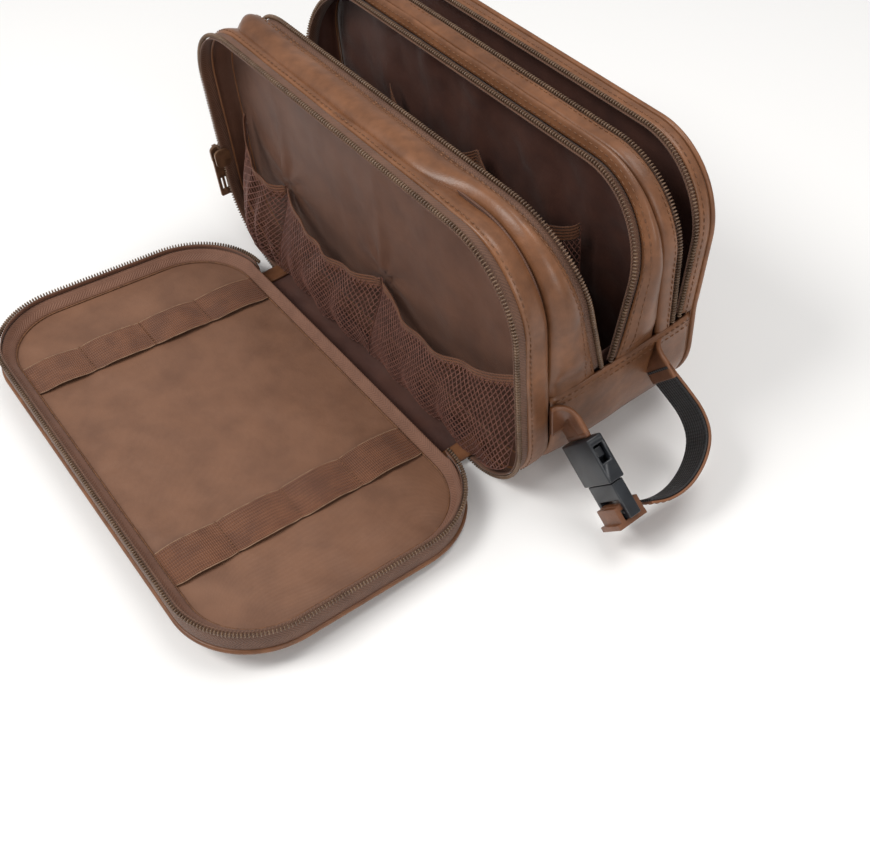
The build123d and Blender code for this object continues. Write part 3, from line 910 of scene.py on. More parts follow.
# ---- the bag's layout ----------------------------------------------------------------------------
@dataclass
class Bag:
    """Sizes and leans that every sub-assembly shares, read from the frame."""

    frame: dict
    repeats: Repeats
    outline: Outline = field(init=False)
    leans: dict[str, Lean] = field(init=False)
    step: float = 3.5 * MM

    def __post_init__(self) -> None:
        """Read the outline from the front gusset and the leans from the joints."""
        _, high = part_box("front_gusset")
        self.outline = Outline(high.x, high.z, high.x - 90.5 * MM)
        self.front_seam = high.y
        self.rear_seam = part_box("rear_divider")[0].y
        self.front_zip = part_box("front_zip_coil")[0].y
        self.rear_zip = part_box("rear_zip_coil_front")[1].y
        self.base_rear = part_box("base_panel")[1].y
        self.rear_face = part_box("rear_panel_lower")[1].y
        self.band_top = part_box("side_band_right")[1].z
        self.leans = {"root": UPRIGHT}
        for joint in self.frame["joints"]:
            if joint["type"] == "hinge" and joint["parent"] == "root" and joint["axis"] == [1, 0, 0]:
                low_deg, high_deg = joint["range_deg"]
                place = joint["pos_m"]
                shut = low_deg if abs(low_deg) > high_deg else high_deg
                self.leans[joint["child"]] = Lean(place[1], place[2], -math.radians(shut))

    def wall(
        self, run: Run, profile: Sequence[tuple[float, float]], reach: float = 0.0, count: int = 0,
        swell: Optional[Callable[[np.ndarray, np.ndarray], np.ndarray]] = None,
    ) -> Grid:
        """Grid of a wall that follows the outline.

        Args:
            run: The stretch of the outline.
            profile: (y, inset) across the wall, from its front edge to its back edge.
            reach: Height where an arch or a cradle ends.
            count: Points across, or 0 to use the profile's own.
            swell: Extra outward shift from the places (n, 2) and the share across (m,).

        Returns:
            Points, zipped shut.
        """
        places, outs, _ = self.outline.trace(run, self.step, reach)
        across = np.array(profile)
        if count:
            lengths = np.concatenate([[0], np.cumsum(np.hypot(*np.diff(across, axis=0).T))])
            fine = np.linspace(0, lengths[-1], count)
            across = np.stack([np.interp(fine, lengths, across[:, k]) for k in (0, 1)], -1)
        share = np.linspace(0, 1, len(across))
        inset = np.broadcast_to(across[:, 1], (len(places), len(across)))
        if swell is not None:
            inset = inset - swell(places, share)
        grid = np.zeros((len(places), len(across), 3))
        grid[..., 0] = places[:, None, 0] - outs[:, None, 0] * inset
        grid[..., 2] = places[:, None, 1] - outs[:, None, 1] * inset
        grid[..., 1] = across[None, :, 0]
        return grid

    def panel(
        self, y: float, inset: float, cols: int = 76, rows: int = 46, low: float = 0.0, high: float = 1.0
    ) -> Grid:
        """Grid that fills the outline at y.

        Args:
            y: Station.
            inset: How far inside the outline its edge runs.
            cols: Points along X.
            rows: Points along Z.
            low: Share of the height where it starts.
            high: Share of the height where it ends.

        Returns:
            Points (cols, rows, 3), zipped shut.
        """
        turn = np.linspace(low, high, rows)
        # Closer rows near the base and the top, where the corners turn.
        share = 0.5 - 0.5 * np.cos(math.pi * turn) * (0.55 + 0.45 * np.abs(np.cos(math.pi * turn)))
        z = inset + share * (self.outline.height - 2 * inset)
        half = self.outline.width_at(z, inset)
        grid = np.zeros((cols, rows, 3))
        grid[..., 0] = np.linspace(-1, 1, cols)[:, None] * half[None, :]
        grid[..., 1] = y
        grid[..., 2] = z[None, :]
        return grid

    def edge(self, run: Run, y: float, inset: float, reach: float = 0.0) -> tuple[np.ndarray, np.ndarray]:
        """A line along the outline at one station, and the way out from it at each point."""
        places, outs, _ = self.outline.trace(run, self.step * 0.6, reach)
        return upright(places - outs * inset, y), upright(outs)


def place(piece: Piece, slot: str, body: str, replaces: Sequence[str] = ()) -> Piece:
    """Ride a piece on a body, hide what it stands for, and log it."""
    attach(piece, body)
    return settle(piece, replaces, body)


def span(
    piece: Piece, slot: str, bodies: tuple[str, str], start: Sequence[float], end: Sequence[float],
    replaces: Sequence[str] = (),
) -> Piece:
    """Bake a piece that lies between two bodies into place, hide what it stands for, and log it."""
    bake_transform(piece)
    return settle(piece, replaces, " to ".join(bodies))


def settle(piece: Piece, replaces: Sequence[str], where: str) -> Piece:
    """Hide what a piece stands for, and log it."""
    if replaces:
        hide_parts(*replaces)
    log.info("%-28s %6d faces on %s", piece.name, len(piece.data.polygons), where)
    return piece


class Assembly:
    """What every sub-assembly has: the shared layout, and rows of stitches and teeth."""

    STITCH_PITCH = 3.4 * MM
    STITCH = (2.5 * MM, 0.62 * MM, 0.6 * MM)
    TOOTH_PITCH = 1.6 * MM
    TOOTH = (0.9 * MM, 2.7 * MM, 2.2 * MM)

    def __init__(self, bag: Bag) -> None:
        """Keep the shared layout."""
        self.bag = bag

    def stitches(
        self, name: str, paths: Sequence[tuple[np.ndarray, np.ndarray, bool]], finish: Finish = THREAD,
        slot: str = "leather",
    ) -> Piece:
        """Lockstitches, each 2.5 mm of every 3.4, half sunk in the cloth."""
        piece = self.bag.repeats.beads(name, paths, self.STITCH_PITCH, self.STITCH, finish)
        return piece

    def teeth(self, name: str, path: np.ndarray, up: np.ndarray, closed: bool = False) -> Piece:
        """The coil of a zipper half: one bead for each tooth."""
        return self.bag.repeats.beads(name, [(path, up, closed)], self.TOOTH_PITCH, self.TOOTH, COIL)

    def zip_half(
        self, name: str, y: float, inset: float, body: str, run: Run, reach: float, stands_for: str
    ) -> None:
        """Teeth along the outline at one station, carried to rest.

        Args:
            name: Name of the piece.
            y: Station of the teeth's middle.
            inset: How far inside the outline they run.
            body: Body that they ride on.
            run: Stretch of the outline.
            reach: Height where an arch ends.
            stands_for: CAD node that they replace.
        """
        line, out = self.bag.edge(run, y, inset, reach)
        lean = self.bag.leans[body]
        tips = lean.carry(line + out * MM)
        line = lean.carry(line)
        piece = self.teeth(name, line, (tips - line) / MM, run is Run.RING)
        place(piece, "zipper_coil", body, [stands_for])


def carried(bag: Bag, grid: Grid, body: str, weight: np.ndarray | float = 1.0) -> Grid:
    """Grid moved to rest by a body's lean, or by a share of it."""
    return bag.leans[body].carry(grid, weight)


def sunk(places: np.ndarray) -> np.ndarray:
    """How far the crease behind the front ring sinks, from the places (n, 2) on the outline."""
    middle = 1 - 0.55 * np.clip(np.abs(places[:, 0]) / (120 * MM), 0, 1) ** 2
    return 5.0 * MM * smooth((places[:, 1] - 84 * MM) / (56 * MM)) * middle


def slouch(
    grid: Grid, out: Grid, depth: float, size: float, seed: float, hold: np.ndarray | float = 1.0
) -> Grid:
    """Grid pushed in and out by soft noise, held still where hold is 0."""
    push = ripple(grid, size, seed) * depth * hold
    return grid + out * push[..., None]


def lattice(surface: Callable[[np.ndarray, np.ndarray], Grid], cols: int, rows: int) -> tuple:
    """A net's diamonds over a surface.

    Args:
        surface: Gives the points at shares across and up.
        cols: Meshes across.
        rows: Half meshes up.

    Returns:
        Points (n, 3), and the pairs of them that yarn joins.
    """
    at_x, at_z = np.meshgrid(np.arange(cols + 1), np.arange(rows + 1), indexing="ij")
    # Every second row is shifted half a mesh, which makes diamonds.
    points = surface(np.clip((at_x + 0.5 * (at_z % 2)) / cols, 0, 1), at_z / rows)
    number = np.arange(points.shape[0] * points.shape[1]).reshape(points.shape[:2])
    edges = []
    for j in range(rows):
        step = 1 if j % 2 else -1
        for i in range(cols + 1):
            edges.append((int(number[i, j]), int(number[i, j + 1])))
            if 0 <= i + step <= cols:
                edges.append((int(number[i, j]), int(number[i + step, j + 1])))
    return points.reshape(-1, 3), edges


# ---- front compartment ---------------------------------------------------------------------------
@dataclass(frozen=True)
class NetPocket:
    """One net pocket: its two tacks along X, and how its mouth sags between them."""

    low: float
    high: float
    top_low: float
    top_high: float
    sag: float
    node: str


class FrontCompartment(Assembly):
    """The ring round the front, its zipper half, the lined wall and three net pockets."""

    NET_PITCH = 2.9 * MM
    FOOT_REACH = 15 * MM
    POCKETS = (
        NetPocket(-121 * MM, -87 * MM, 88 * MM, 58 * MM, 12 * MM, "mesh_pocket_left"),
        NetPocket(-86 * MM, 4 * MM, 58 * MM, 52 * MM, 9 * MM, "mesh_pocket_middle"),
        NetPocket(5 * MM, 121 * MM, 52 * MM, 74 * MM, 12 * MM, "mesh_pocket_right"),
    )

    def build(self) -> None:
        """Build every piece of the front compartment."""
        self.ring()
        self.zipper()
        self.wall()
        self.pockets()

    def ring(self) -> None:
        """The leather ring with its lining, the step where it is sewn to the wider gusset, and stitches."""
        bag = self.bag
        seam, coil = bag.front_seam, bag.front_zip
        tape_back = coil + 6.4 * MM

        def dip(places: np.ndarray, share: np.ndarray) -> np.ndarray:
            """Sink the ring at its seam, and less towards the zipper."""
            return -sunk(places)[:, None] * (1 - smooth(share * 1.15))[None, :]

        profile = [(seam - 0.2 * MM, 2.6 * MM), (seam - 0.3 * MM, 1.0 * MM), (seam - 1.4 * MM, 0.1 * MM)]
        profile += [(y, -0.25 * MM) for y in np.linspace(seam - 4 * MM, tape_back + 3 * MM, 5)]
        profile += [(tape_back + 1 * MM, 0.3 * MM), (tape_back, 0.9 * MM)]
        grid = bag.wall(Run.RING, profile, swell=dip)
        hold = held_edges(grid.shape[1], 6)
        out = -normals_of(grid, True)
        out *= np.sign((out * (grid - grid.mean((0, 1)))).sum())
        grid = slouch(grid, out, 0.8 * MM, 24 * MM, 3.1, hold[None, :])
        piece = cloth("front_ring_leather", grid, 1.7 * MM, (LEATHER, WALL_LINING), True, wear=3 * MM)
        place(piece, "leather", "root", ["front_gusset"])
        row, out_row = bag.edge(Run.RING, tape_back + 1.9 * MM, -0.35 * MM)
        row = row - out_row * 0.15 * MM
        piece = self.stitches("front_ring_stitches", [(row, out_row, True)])
        place(piece, "leather", "root")

    def zipper(self) -> None:
        """Herringbone tape and teeth, open along the flat of the base."""
        bag = self.bag
        coil = bag.front_zip
        profile = [(coil + 0.2 * MM, 1.5 * MM), (coil + 1.6 * MM, 1.4 * MM), (coil + 2.6 * MM, 1.2 * MM)]
        profile += [(coil + 4.4 * MM, 0.9 * MM), (coil + 7.6 * MM, 1.0 * MM)]
        grid = bag.wall(Run.HORSESHOE, profile)
        piece = cloth("front_zip_tape_cloth", grid, 0.5 * MM, (TAPE,))
        place(piece, "binding", "root", ["front_zip_tape"])
        at = coil + 1.0 * MM
        self.zip_half("front_zip_teeth", at, 0.1 * MM, "root", Run.HORSESHOE, 0, "front_zip_coil")

    def wall(self) -> None:
        """The lined wall behind the pockets, puckered at the tacks."""
        bag = self.bag
        low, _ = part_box("front_divider")
        grid = bag.panel(low.y + 0.2 * MM, 2.3 * MM, 110, 66)
        inside = bag.outline.depth_inside(grid[..., 0], grid[..., 2]) - 2.3 * MM
        hold = smooth(inside / (12 * MM))
        push = ripple(grid, 34 * MM, 7.3, (1, 1, 1.8)) * 1.6 * MM + ripple(grid, 13 * MM, 1.9) * 0.5 * MM
        for x, z in ((-87 * MM, 58 * MM), (4.5 * MM, 52 * MM)):
            dx, dz = grid[..., 0] - x, grid[..., 2] - z
            reach = np.hypot(dx, dz)
            angle = np.arctan2(dx, dz)
            rays = np.cos(angle * 7 + 0.8) * np.exp(-reach / (15 * MM)) * smooth(reach / (5 * MM))
            fold = np.exp(-((dx / (3.5 * MM)) ** 2)) * smooth(dz / (6 * MM)) * np.exp(-dz / (24 * MM))
            push += rays * 1.9 * MM + np.where(dz > 0, fold * 3.2 * MM, 0)
        grid[..., 1] -= np.clip(push * hold, -2.2 * MM, 4.2 * MM)
        piece = cloth("front_wall_cloth", grid, 0.9 * MM, (WALL_LINING, DARK_LINING), facing=(0, -1, 0))
        place(piece, "lining", "root", ["front_divider"])

    def mouth(self, pocket: NetPocket, x: np.ndarray) -> tuple[np.ndarray, np.ndarray]:
        """Height of a pocket's mouth and how far it stands off the wall, at each x."""
        share = np.clip((x - pocket.low) / (pocket.high - pocket.low), 0, 1)
        straight = pocket.top_low + (pocket.top_high - pocket.top_low) * share
        arch = 4 * share * (1 - share)
        height = straight - pocket.sag * arch**0.8
        stand = 0.9 * MM + 8.5 * MM * np.sin(math.pi * share) ** 0.75
        return height, stand

    def surface(self, pocket: NetPocket, share_x: np.ndarray, share_z: np.ndarray) -> Grid:
        """Points on a pocket's bulging net.

        Args:
            pocket: The pocket.
            share_x: Share of the way from its low tack to its high one.
            share_z: Share of the way from its foot to its mouth.

        Returns:
            Points, one for each pair of shares.
        """
        bag = self.bag
        x = pocket.low + (pocket.high - pocket.low) * share_x
        height, stand = self.mouth(pocket, x)
        foot = 5.5 * MM
        z = foot + (height - foot) * share_z
        half = bag.outline.width_at(z, 4.5 * MM)
        x = np.clip(x, -half, half)
        across = np.sin(math.pi * np.clip(share_x, 0, 1)) ** 0.5
        belly = 5.6 * MM * np.sin(math.pi * np.clip(share_z, 0, 1)) * across
        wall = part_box("front_divider")[0].y - 1.6 * MM
        # The net's foot is sewn along the front of the ring, and its mouth is tacked to the wall.
        reach = self.FOOT_REACH + (stand - self.FOOT_REACH) * smooth(share_z) + belly
        points = np.stack([x, wall - reach, z], -1)
        folds = np.sin(share_x * 23 + np.sin(share_z * 4) * 1.7 + pocket.low * 90)
        folds = folds * (1 - share_z * 0.75) * 1.5 * MM
        points[..., 1] += across * (ripple(points, 15 * MM, 4.4, (1, 1, 1.6)) * 2.6 * MM + folds)
        points[..., 2] -= across * np.maximum(folds, 0) * 0.6 * (1 - share_z)
        points[..., 1] = np.minimum(points[..., 1], wall - 0.2 * MM)
        return points

    def pockets(self) -> None:
        """Nets, and the ribbed elastic that binds their mouths."""
        for index, pocket in enumerate(self.POCKETS):
            wide, tall = pocket.high - pocket.low, 0.5 * (pocket.top_low + pocket.top_high) - 8 * MM
            cols, rows = round(wide / self.NET_PITCH), round(tall / (self.NET_PITCH * 0.72))
            points, edges = lattice(lambda across, up, p=pocket: self.surface(p, across, up), cols, rows)
            net = self.bag.repeats.netting(f"front_net_{index + 1}", points, edges, 0.32 * MM, NET)
            place(net, "mesh", "root", [pocket.node])
            share = np.linspace(0, 1, 70)
            self.binding(pocket, index, share)

    def binding(self, pocket: NetPocket, index: int, share: np.ndarray) -> None:
        """The elastic along a pocket's mouth, with lengthwise ribs."""
        tall, ribs = 8.5 * MM, 33
        across = np.linspace(0, 1, ribs)
        mouth = self.surface(pocket, share, np.ones_like(share))
        grid = np.repeat(mouth[:, None, :], ribs, axis=1)
        drop = (across - 0.85)[None, :] * tall
        grid[..., 2] += drop
        tacked = smooth(np.minimum(share, 1 - share) / 0.05)
        grid[..., 2] += (1 - tacked)[:, None] * (0.5 - across)[None, :] * tall * 0.45
        grid[..., 1] -= 0.7 * MM + 0.22 * MM * np.abs(np.sin(across * math.pi * 5))[None, :]
        half = self.bag.outline.width_at(grid[..., 2], 4.2 * MM)
        grid[..., 0] = np.clip(grid[..., 0], -half, half)
        piece = cloth(f"front_net_binding_{index + 1}", grid, 0.8 * MM, (ELASTIC,), facing=(0, -1, 0))
        place(piece, "elastic", "root", ["pocket_elastic"] if index == 0 else [])


# ---- main compartment ----------------------------------------------------------------------------
class MainCompartment(Assembly):
    """The two gussets that meet at the main zipper, with the lining and the net pocket inside."""

    ARCH_FOOT = 60 * MM
    CROWN = 4.2 * MM
    OVERHANG = 9 * MM

    def build(self) -> None:
        """Build every piece of the main compartment."""
        self.gusset("front", self.bag.front_seam, "main_lip_front", 1.0)
        self.gusset("rear", self.bag.rear_seam, "main_lip_rear", -1.0)
        self.lining()
        self.rear_wall()
        self.inner_pocket()

    def gusset(self, side: str, seam: float, body: str, sign: float) -> None:
        """One gusset: leather from the seam to its zipper half, which leans with the lip.

        Args:
            side: "front" or "rear".
            seam: Station where it is sewn to its neighbour.
            body: The lip that carries its zipper half.
            sign: 1 if the zipper is behind the seam, else -1.
        """
        bag = self.bag
        zipper = 5 * MM  # middle of the main zipper, zipped shut
        coil = zipper - sign * 2.0 * MM
        leather_end = zipper - sign * 6.2 * MM
        width = abs(leather_end - seam)
        share = np.linspace(0, 1, 22)
        places, outs, _ = bag.outline.trace(Run.ARCH, bag.step, self.ARCH_FOOT)
        out = upright(outs)
        crease = sunk(places) if side == "front" else 0.35 * sunk(places)
        first = bag.wall(Run.ARCH, [(seam + sign * 0.3 * MM, 1.0 * MM)], self.ARCH_FOOT)[:, 0]
        first = first - out * crease[:, None]
        if side == "front":
            overhang = self.overhang(places)
            first[:, 1] -= self.OVERHANG * overhang
            first += out * (crease * overhang * 0.75)[:, None]
        last = bag.wall(Run.ARCH, [(leather_end, 0.5 * MM)], self.ARCH_FOOT)[:, 0]
        last = carried(bag, last, body, smooth((last[:, 2] - 56 * MM) / (12 * MM)))
        chord = np.linalg.norm(last - first, axis=1)
        spare = np.maximum(0.93 * (width + seam - first[:, 1] if side == "front" else width) - chord, 0)
        crown = np.minimum(np.sqrt(0.375 * chord * spare), self.CROWN) + 0.7 * MM
        lift = np.sin(math.pi * share) ** 0.8
        rest = first[:, None] + (last - first)[:, None] * share[None, :, None]
        rest = rest + out[:, None] * (crown[:, None] * lift[None, :])[..., None]
        free = (np.sin(math.pi * share) ** 0.5)[None, :]
        push = ripple(rest, 30 * MM, 5.0 + sign, (1.4, 1, 1)) * 1.6 * MM
        push = push + ripple(rest, 12 * MM, 2.2) * 0.4 * MM
        rest = rest + out[:, None] * (push * free)[..., None]
        # The edge at the seam turns in.
        tuck = (1 - smooth(share * 9))[None, :, None] * 1.6 * MM
        rest = rest - out[:, None] * tuck
        name = f"main_{side}_gusset_leather"
        piece = cloth(name, rest, 1.5 * MM, (LEATHER, DARK_LINING), wear=2.5 * MM)
        start, end = self.bend(rest, seam)
        span(piece, "leather", ("root", body), start, end, [f"main_gusset_{side}", f"main_lip_{side}"])
        rows = []
        ups = normals_of(rest, False)
        ups *= np.sign((ups * out[:, None]).sum(-1, keepdims=True))
        for inset in (1.5 * MM, 5.6 * MM):
            at = (1 - inset / width) * (len(share) - 1)
            low, part = int(at), at - int(at)
            line = rest[:, low] * (1 - part) + rest[:, low + 1] * part
            rows.append((line + ups[:, low] * 0.12 * MM, ups[:, low], False))
        stitches = self.stitches(f"main_{side}_gusset_stitches", rows)
        span(stitches, "leather", ("root", body), start, end)
        strip = [(coil + sign * 0.9 * MM, 1.6 * MM), (coil - sign * 0.8 * MM, 1.5 * MM)]
        strip += [(coil - sign * 1.8 * MM, 1.3 * MM), (leather_end - sign * 1.6 * MM, 1.1 * MM)]
        tape = carried(bag, bag.wall(Run.ARCH, strip, 66 * MM), body)
        piece = cloth(f"main_{side}_zip_tape", tape, 0.5 * MM, (TAPE,))
        place(piece, "binding", body)
        self.zip_half(f"main_{side}_zip_teeth", coil, 0.2 * MM, body, Run.ARCH, 66 * MM, f"main_coil_{side}")

    @staticmethod
    def overhang(places: np.ndarray) -> np.ndarray:
        """Share of the overhang over the front ring, from the places (n, 2) on the outline."""
        along = smooth((places[:, 0] + 118 * MM) / (25 * MM)) * smooth((88 * MM - places[:, 0]) / (40 * MM))
        return along * smooth((places[:, 1] - 118 * MM) / (20 * MM))

    @staticmethod
    def bend(rest: Grid, seam: float) -> tuple[tuple[float, ...], tuple[float, ...]]:
        """Start and end of a gusset's bend, from the seam to its zipper half at the top."""
        middle = rest.shape[0] // 2
        end = rest[middle, -2]
        return (0.0, seam, float(end[2])), (0.0, float(end[1]), float(end[2]))

    def lining(self) -> None:
        """Dark lining under the side bands and over the base, and up inside both gussets."""
        bag = self.bag
        stations = np.linspace(bag.front_seam + 1.2 * MM, bag.rear_seam - 1.2 * MM, 22)
        grid = bag.wall(Run.CRADLE, [(y, 5.0 * MM) for y in stations], 66 * MM)
        out = normals_of(grid, False)
        out *= np.sign((out * (grid - np.array([0, 5 * MM, 60 * MM]))).sum())
        push = np.clip(ripple(grid, 22 * MM, 9.1) * 2.4 * MM - 1.2 * MM, -4 * MM, 0)
        grid = grid + out * push[..., None]
        piece = cloth("main_lining_cloth", grid, 0.8 * MM, (DARK_LINING,))
        place(piece, "lining", "root", ["main_lining"])
        _, _, lengths = bag.outline.trace(Run.CRADLE, bag.step, 66 * MM)

    def rear_wall(self) -> None:
        """The lining at the back of the main compartment, slack and wrinkled."""
        bag = self.bag
        low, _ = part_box("rear_divider")
        grid = bag.panel(low.y + 0.5 * MM, 2.6 * MM, 110, 66)
        hold = smooth((bag.outline.depth_inside(grid[..., 0], grid[..., 2]) - 2.6 * MM) / (14 * MM))
        push = ripple(grid, 26 * MM, 6.6, (1, 1, 1.7)) * 3.4 * MM + ripple(grid, 11 * MM, 8.9) * 1.2 * MM
        grid[..., 1] -= np.clip(push * hold + 0.6 * MM * hold, -0.6 * MM, 4.5 * MM)
        piece = cloth("rear_divider_cloth", grid, 0.9 * MM, (DARK_LINING, DARK_LINING), facing=(0, -1, 0))
        place(piece, "lining", "root", ["rear_divider"])

    def inner_pocket(self) -> None:
        """The net pocket on the rear wall, tacked at the middle, and its elastic."""
        low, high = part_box("inner_mesh_pocket")
        points, edges = lattice(lambda across, up: self.inner_surface(across, up, low, high), 56, 40)
        net = self.bag.repeats.netting("inner_net", points, edges, 0.3 * MM, NET)
        place(net, "mesh", "root", ["inner_mesh_pocket"])
        share = np.linspace(0, 1, 90)
        across = np.linspace(0, 1, 25)
        mouth = self.inner_surface(share, np.ones_like(share), low, high)
        grid = np.repeat(mouth[:, None, :], len(across), axis=1)
        grid[..., 2] += (across - 0.8)[None, :] * 8.5 * MM
        grid[..., 1] -= 0.6 * MM + 0.2 * MM * np.abs(np.sin(across * math.pi * 5))[None, :]
        piece = cloth("inner_net_binding", grid, 0.8 * MM, (ELASTIC,), facing=(0, -1, 0))
        place(piece, "elastic", "root", ["inner_elastic"])

    @staticmethod
    def inner_surface(share_x: np.ndarray, share_z: np.ndarray, low: Vector, high: Vector) -> Grid:
        """Points on the inner pocket's net, two bellies with a tack between them."""
        x = low.x + (high.x - low.x) * share_x
        belly = np.abs(np.sin(2 * math.pi * share_x)) ** 0.7
        top = high.z - 13 * MM * belly * share_z
        z = low.z + (top - low.z) * share_z
        wall = high.y - 4.6 * MM
        y = wall - (1.0 * MM + 6.5 * MM * belly * smooth(share_z / 0.2) * (0.7 + 0.3 * share_z))
        return np.stack([x, y, z], -1)


# ---- base ----------------------------------------------------------------------------------------
class Base(Assembly):
    """The stiffened base and the two side bands that cover the zippers' ends."""

    def build(self) -> None:
        """Build the base, its board and both bands."""
        self.panel()
        self.band("left", -1.0)
        self.band("right", 1.0)
        board = self.bag.frame["nodes"]["base_board"]
        board.data.materials.clear()
        board.data.materials.append(material(BOARD))

    def panel(self) -> None:
        """The base's leather, just proud of the floor."""
        low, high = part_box("base_panel")
        x, y = np.linspace(low.x, high.x, 46), np.linspace(low.y, high.y, 24)
        grid = np.zeros((46, 24, 3))
        grid[..., 0], grid[..., 1] = np.meshgrid(x, y, indexing="ij")
        edge = np.minimum(grid[..., 1] - low.y, high.y - grid[..., 1])
        rise = (1 - smooth(edge / (3 * MM))) * 0.7 * MM
        grid[..., 2] = 0.35 * MM + rise + (ripple(grid, 30 * MM, 2.0) + 1) * 0.25 * MM
        piece = cloth("base_leather", grid, 1.6 * MM, (LEATHER,), facing=(0, 0, -1), wear=3 * MM)
        place(piece, "leather", "root", ["base_panel"])

    def band(self, side: str, sign: float) -> None:
        """A side band: leather with a turned top edge and two rows of stitches.

        Args:
            side: "left" or "right".
            sign: 1 for the +X end.
        """
        bag = self.bag
        top = bag.band_top
        front, back = bag.front_seam, bag.base_rear
        places, outs, _ = bag.outline.trace(Run.CRADLE, bag.step * 0.8, top)
        keep = (places[:, 0] * sign > 0) & (np.abs(places[:, 0]) >= bag.outline.flat - 3 * MM)
        places, outs = places[keep], outs[keep]
        stations = np.linspace(front + 0.4 * MM, back - 0.3 * MM, 30)
        rim = smooth((top - places[:, 1]) / (1.6 * MM))
        ends = np.minimum(stations - stations[0], stations[-1] - stations)
        grid = np.zeros((len(places), len(stations), 3))
        bulge = 0.9 * MM * smooth(ends / (16 * MM))[None, :] * smooth(places[:, 1] / (22 * MM))[:, None]
        bulge = bulge + (rim * 1.0 * MM - 0.4 * MM)[:, None]
        bulge = bulge - 1.1 * MM * (1 - smooth(ends / (2.2 * MM)))[None, :]
        grid[..., 0] = places[:, None, 0] + outs[:, None, 0] * bulge
        grid[..., 2] = places[:, None, 1] + outs[:, None, 1] * bulge
        grid[..., 1] = stations[None, :]
        free = smooth(ends / (8 * MM))[None, :] * smooth(places[:, 1] / (14 * MM))[:, None]
        dip = ripple(grid, 20 * MM, 5.5 + sign) * 0.7 * MM * free
        grid[..., 0] += outs[:, None, 0] * dip
        grid[..., 2] = np.maximum(grid[..., 2] + outs[:, None, 1] * dip, 0.3 * MM)
        finishes = (LEATHER, DARK_LINING)
        name = f"side_band_{side}_leather"
        piece = cloth(name, grid, 1.6 * MM, finishes, facing=(sign, 0, -0.3), wear=3 * MM)
        place(piece, "leather", "root", [f"side_band_{side}"])
        rows = []
        for drop in (2.2 * MM, 5.6 * MM):
            y = stations[1:-1]
            x = np.full(len(y), sign * (bag.outline.half + 1.15 * MM))
            x = x + sign * 0.5 * MM * smooth((ends[1:-1]) / (16 * MM))
            line = np.stack([x, y, np.full(len(y), top - drop)], -1)
            rows.append((line, np.broadcast_to(np.array([sign, 0.0, 0.0]), line.shape), False))
        piece = self.stitches(f"side_band_{side}_stitches", rows)
        place(piece, "leather", "root")


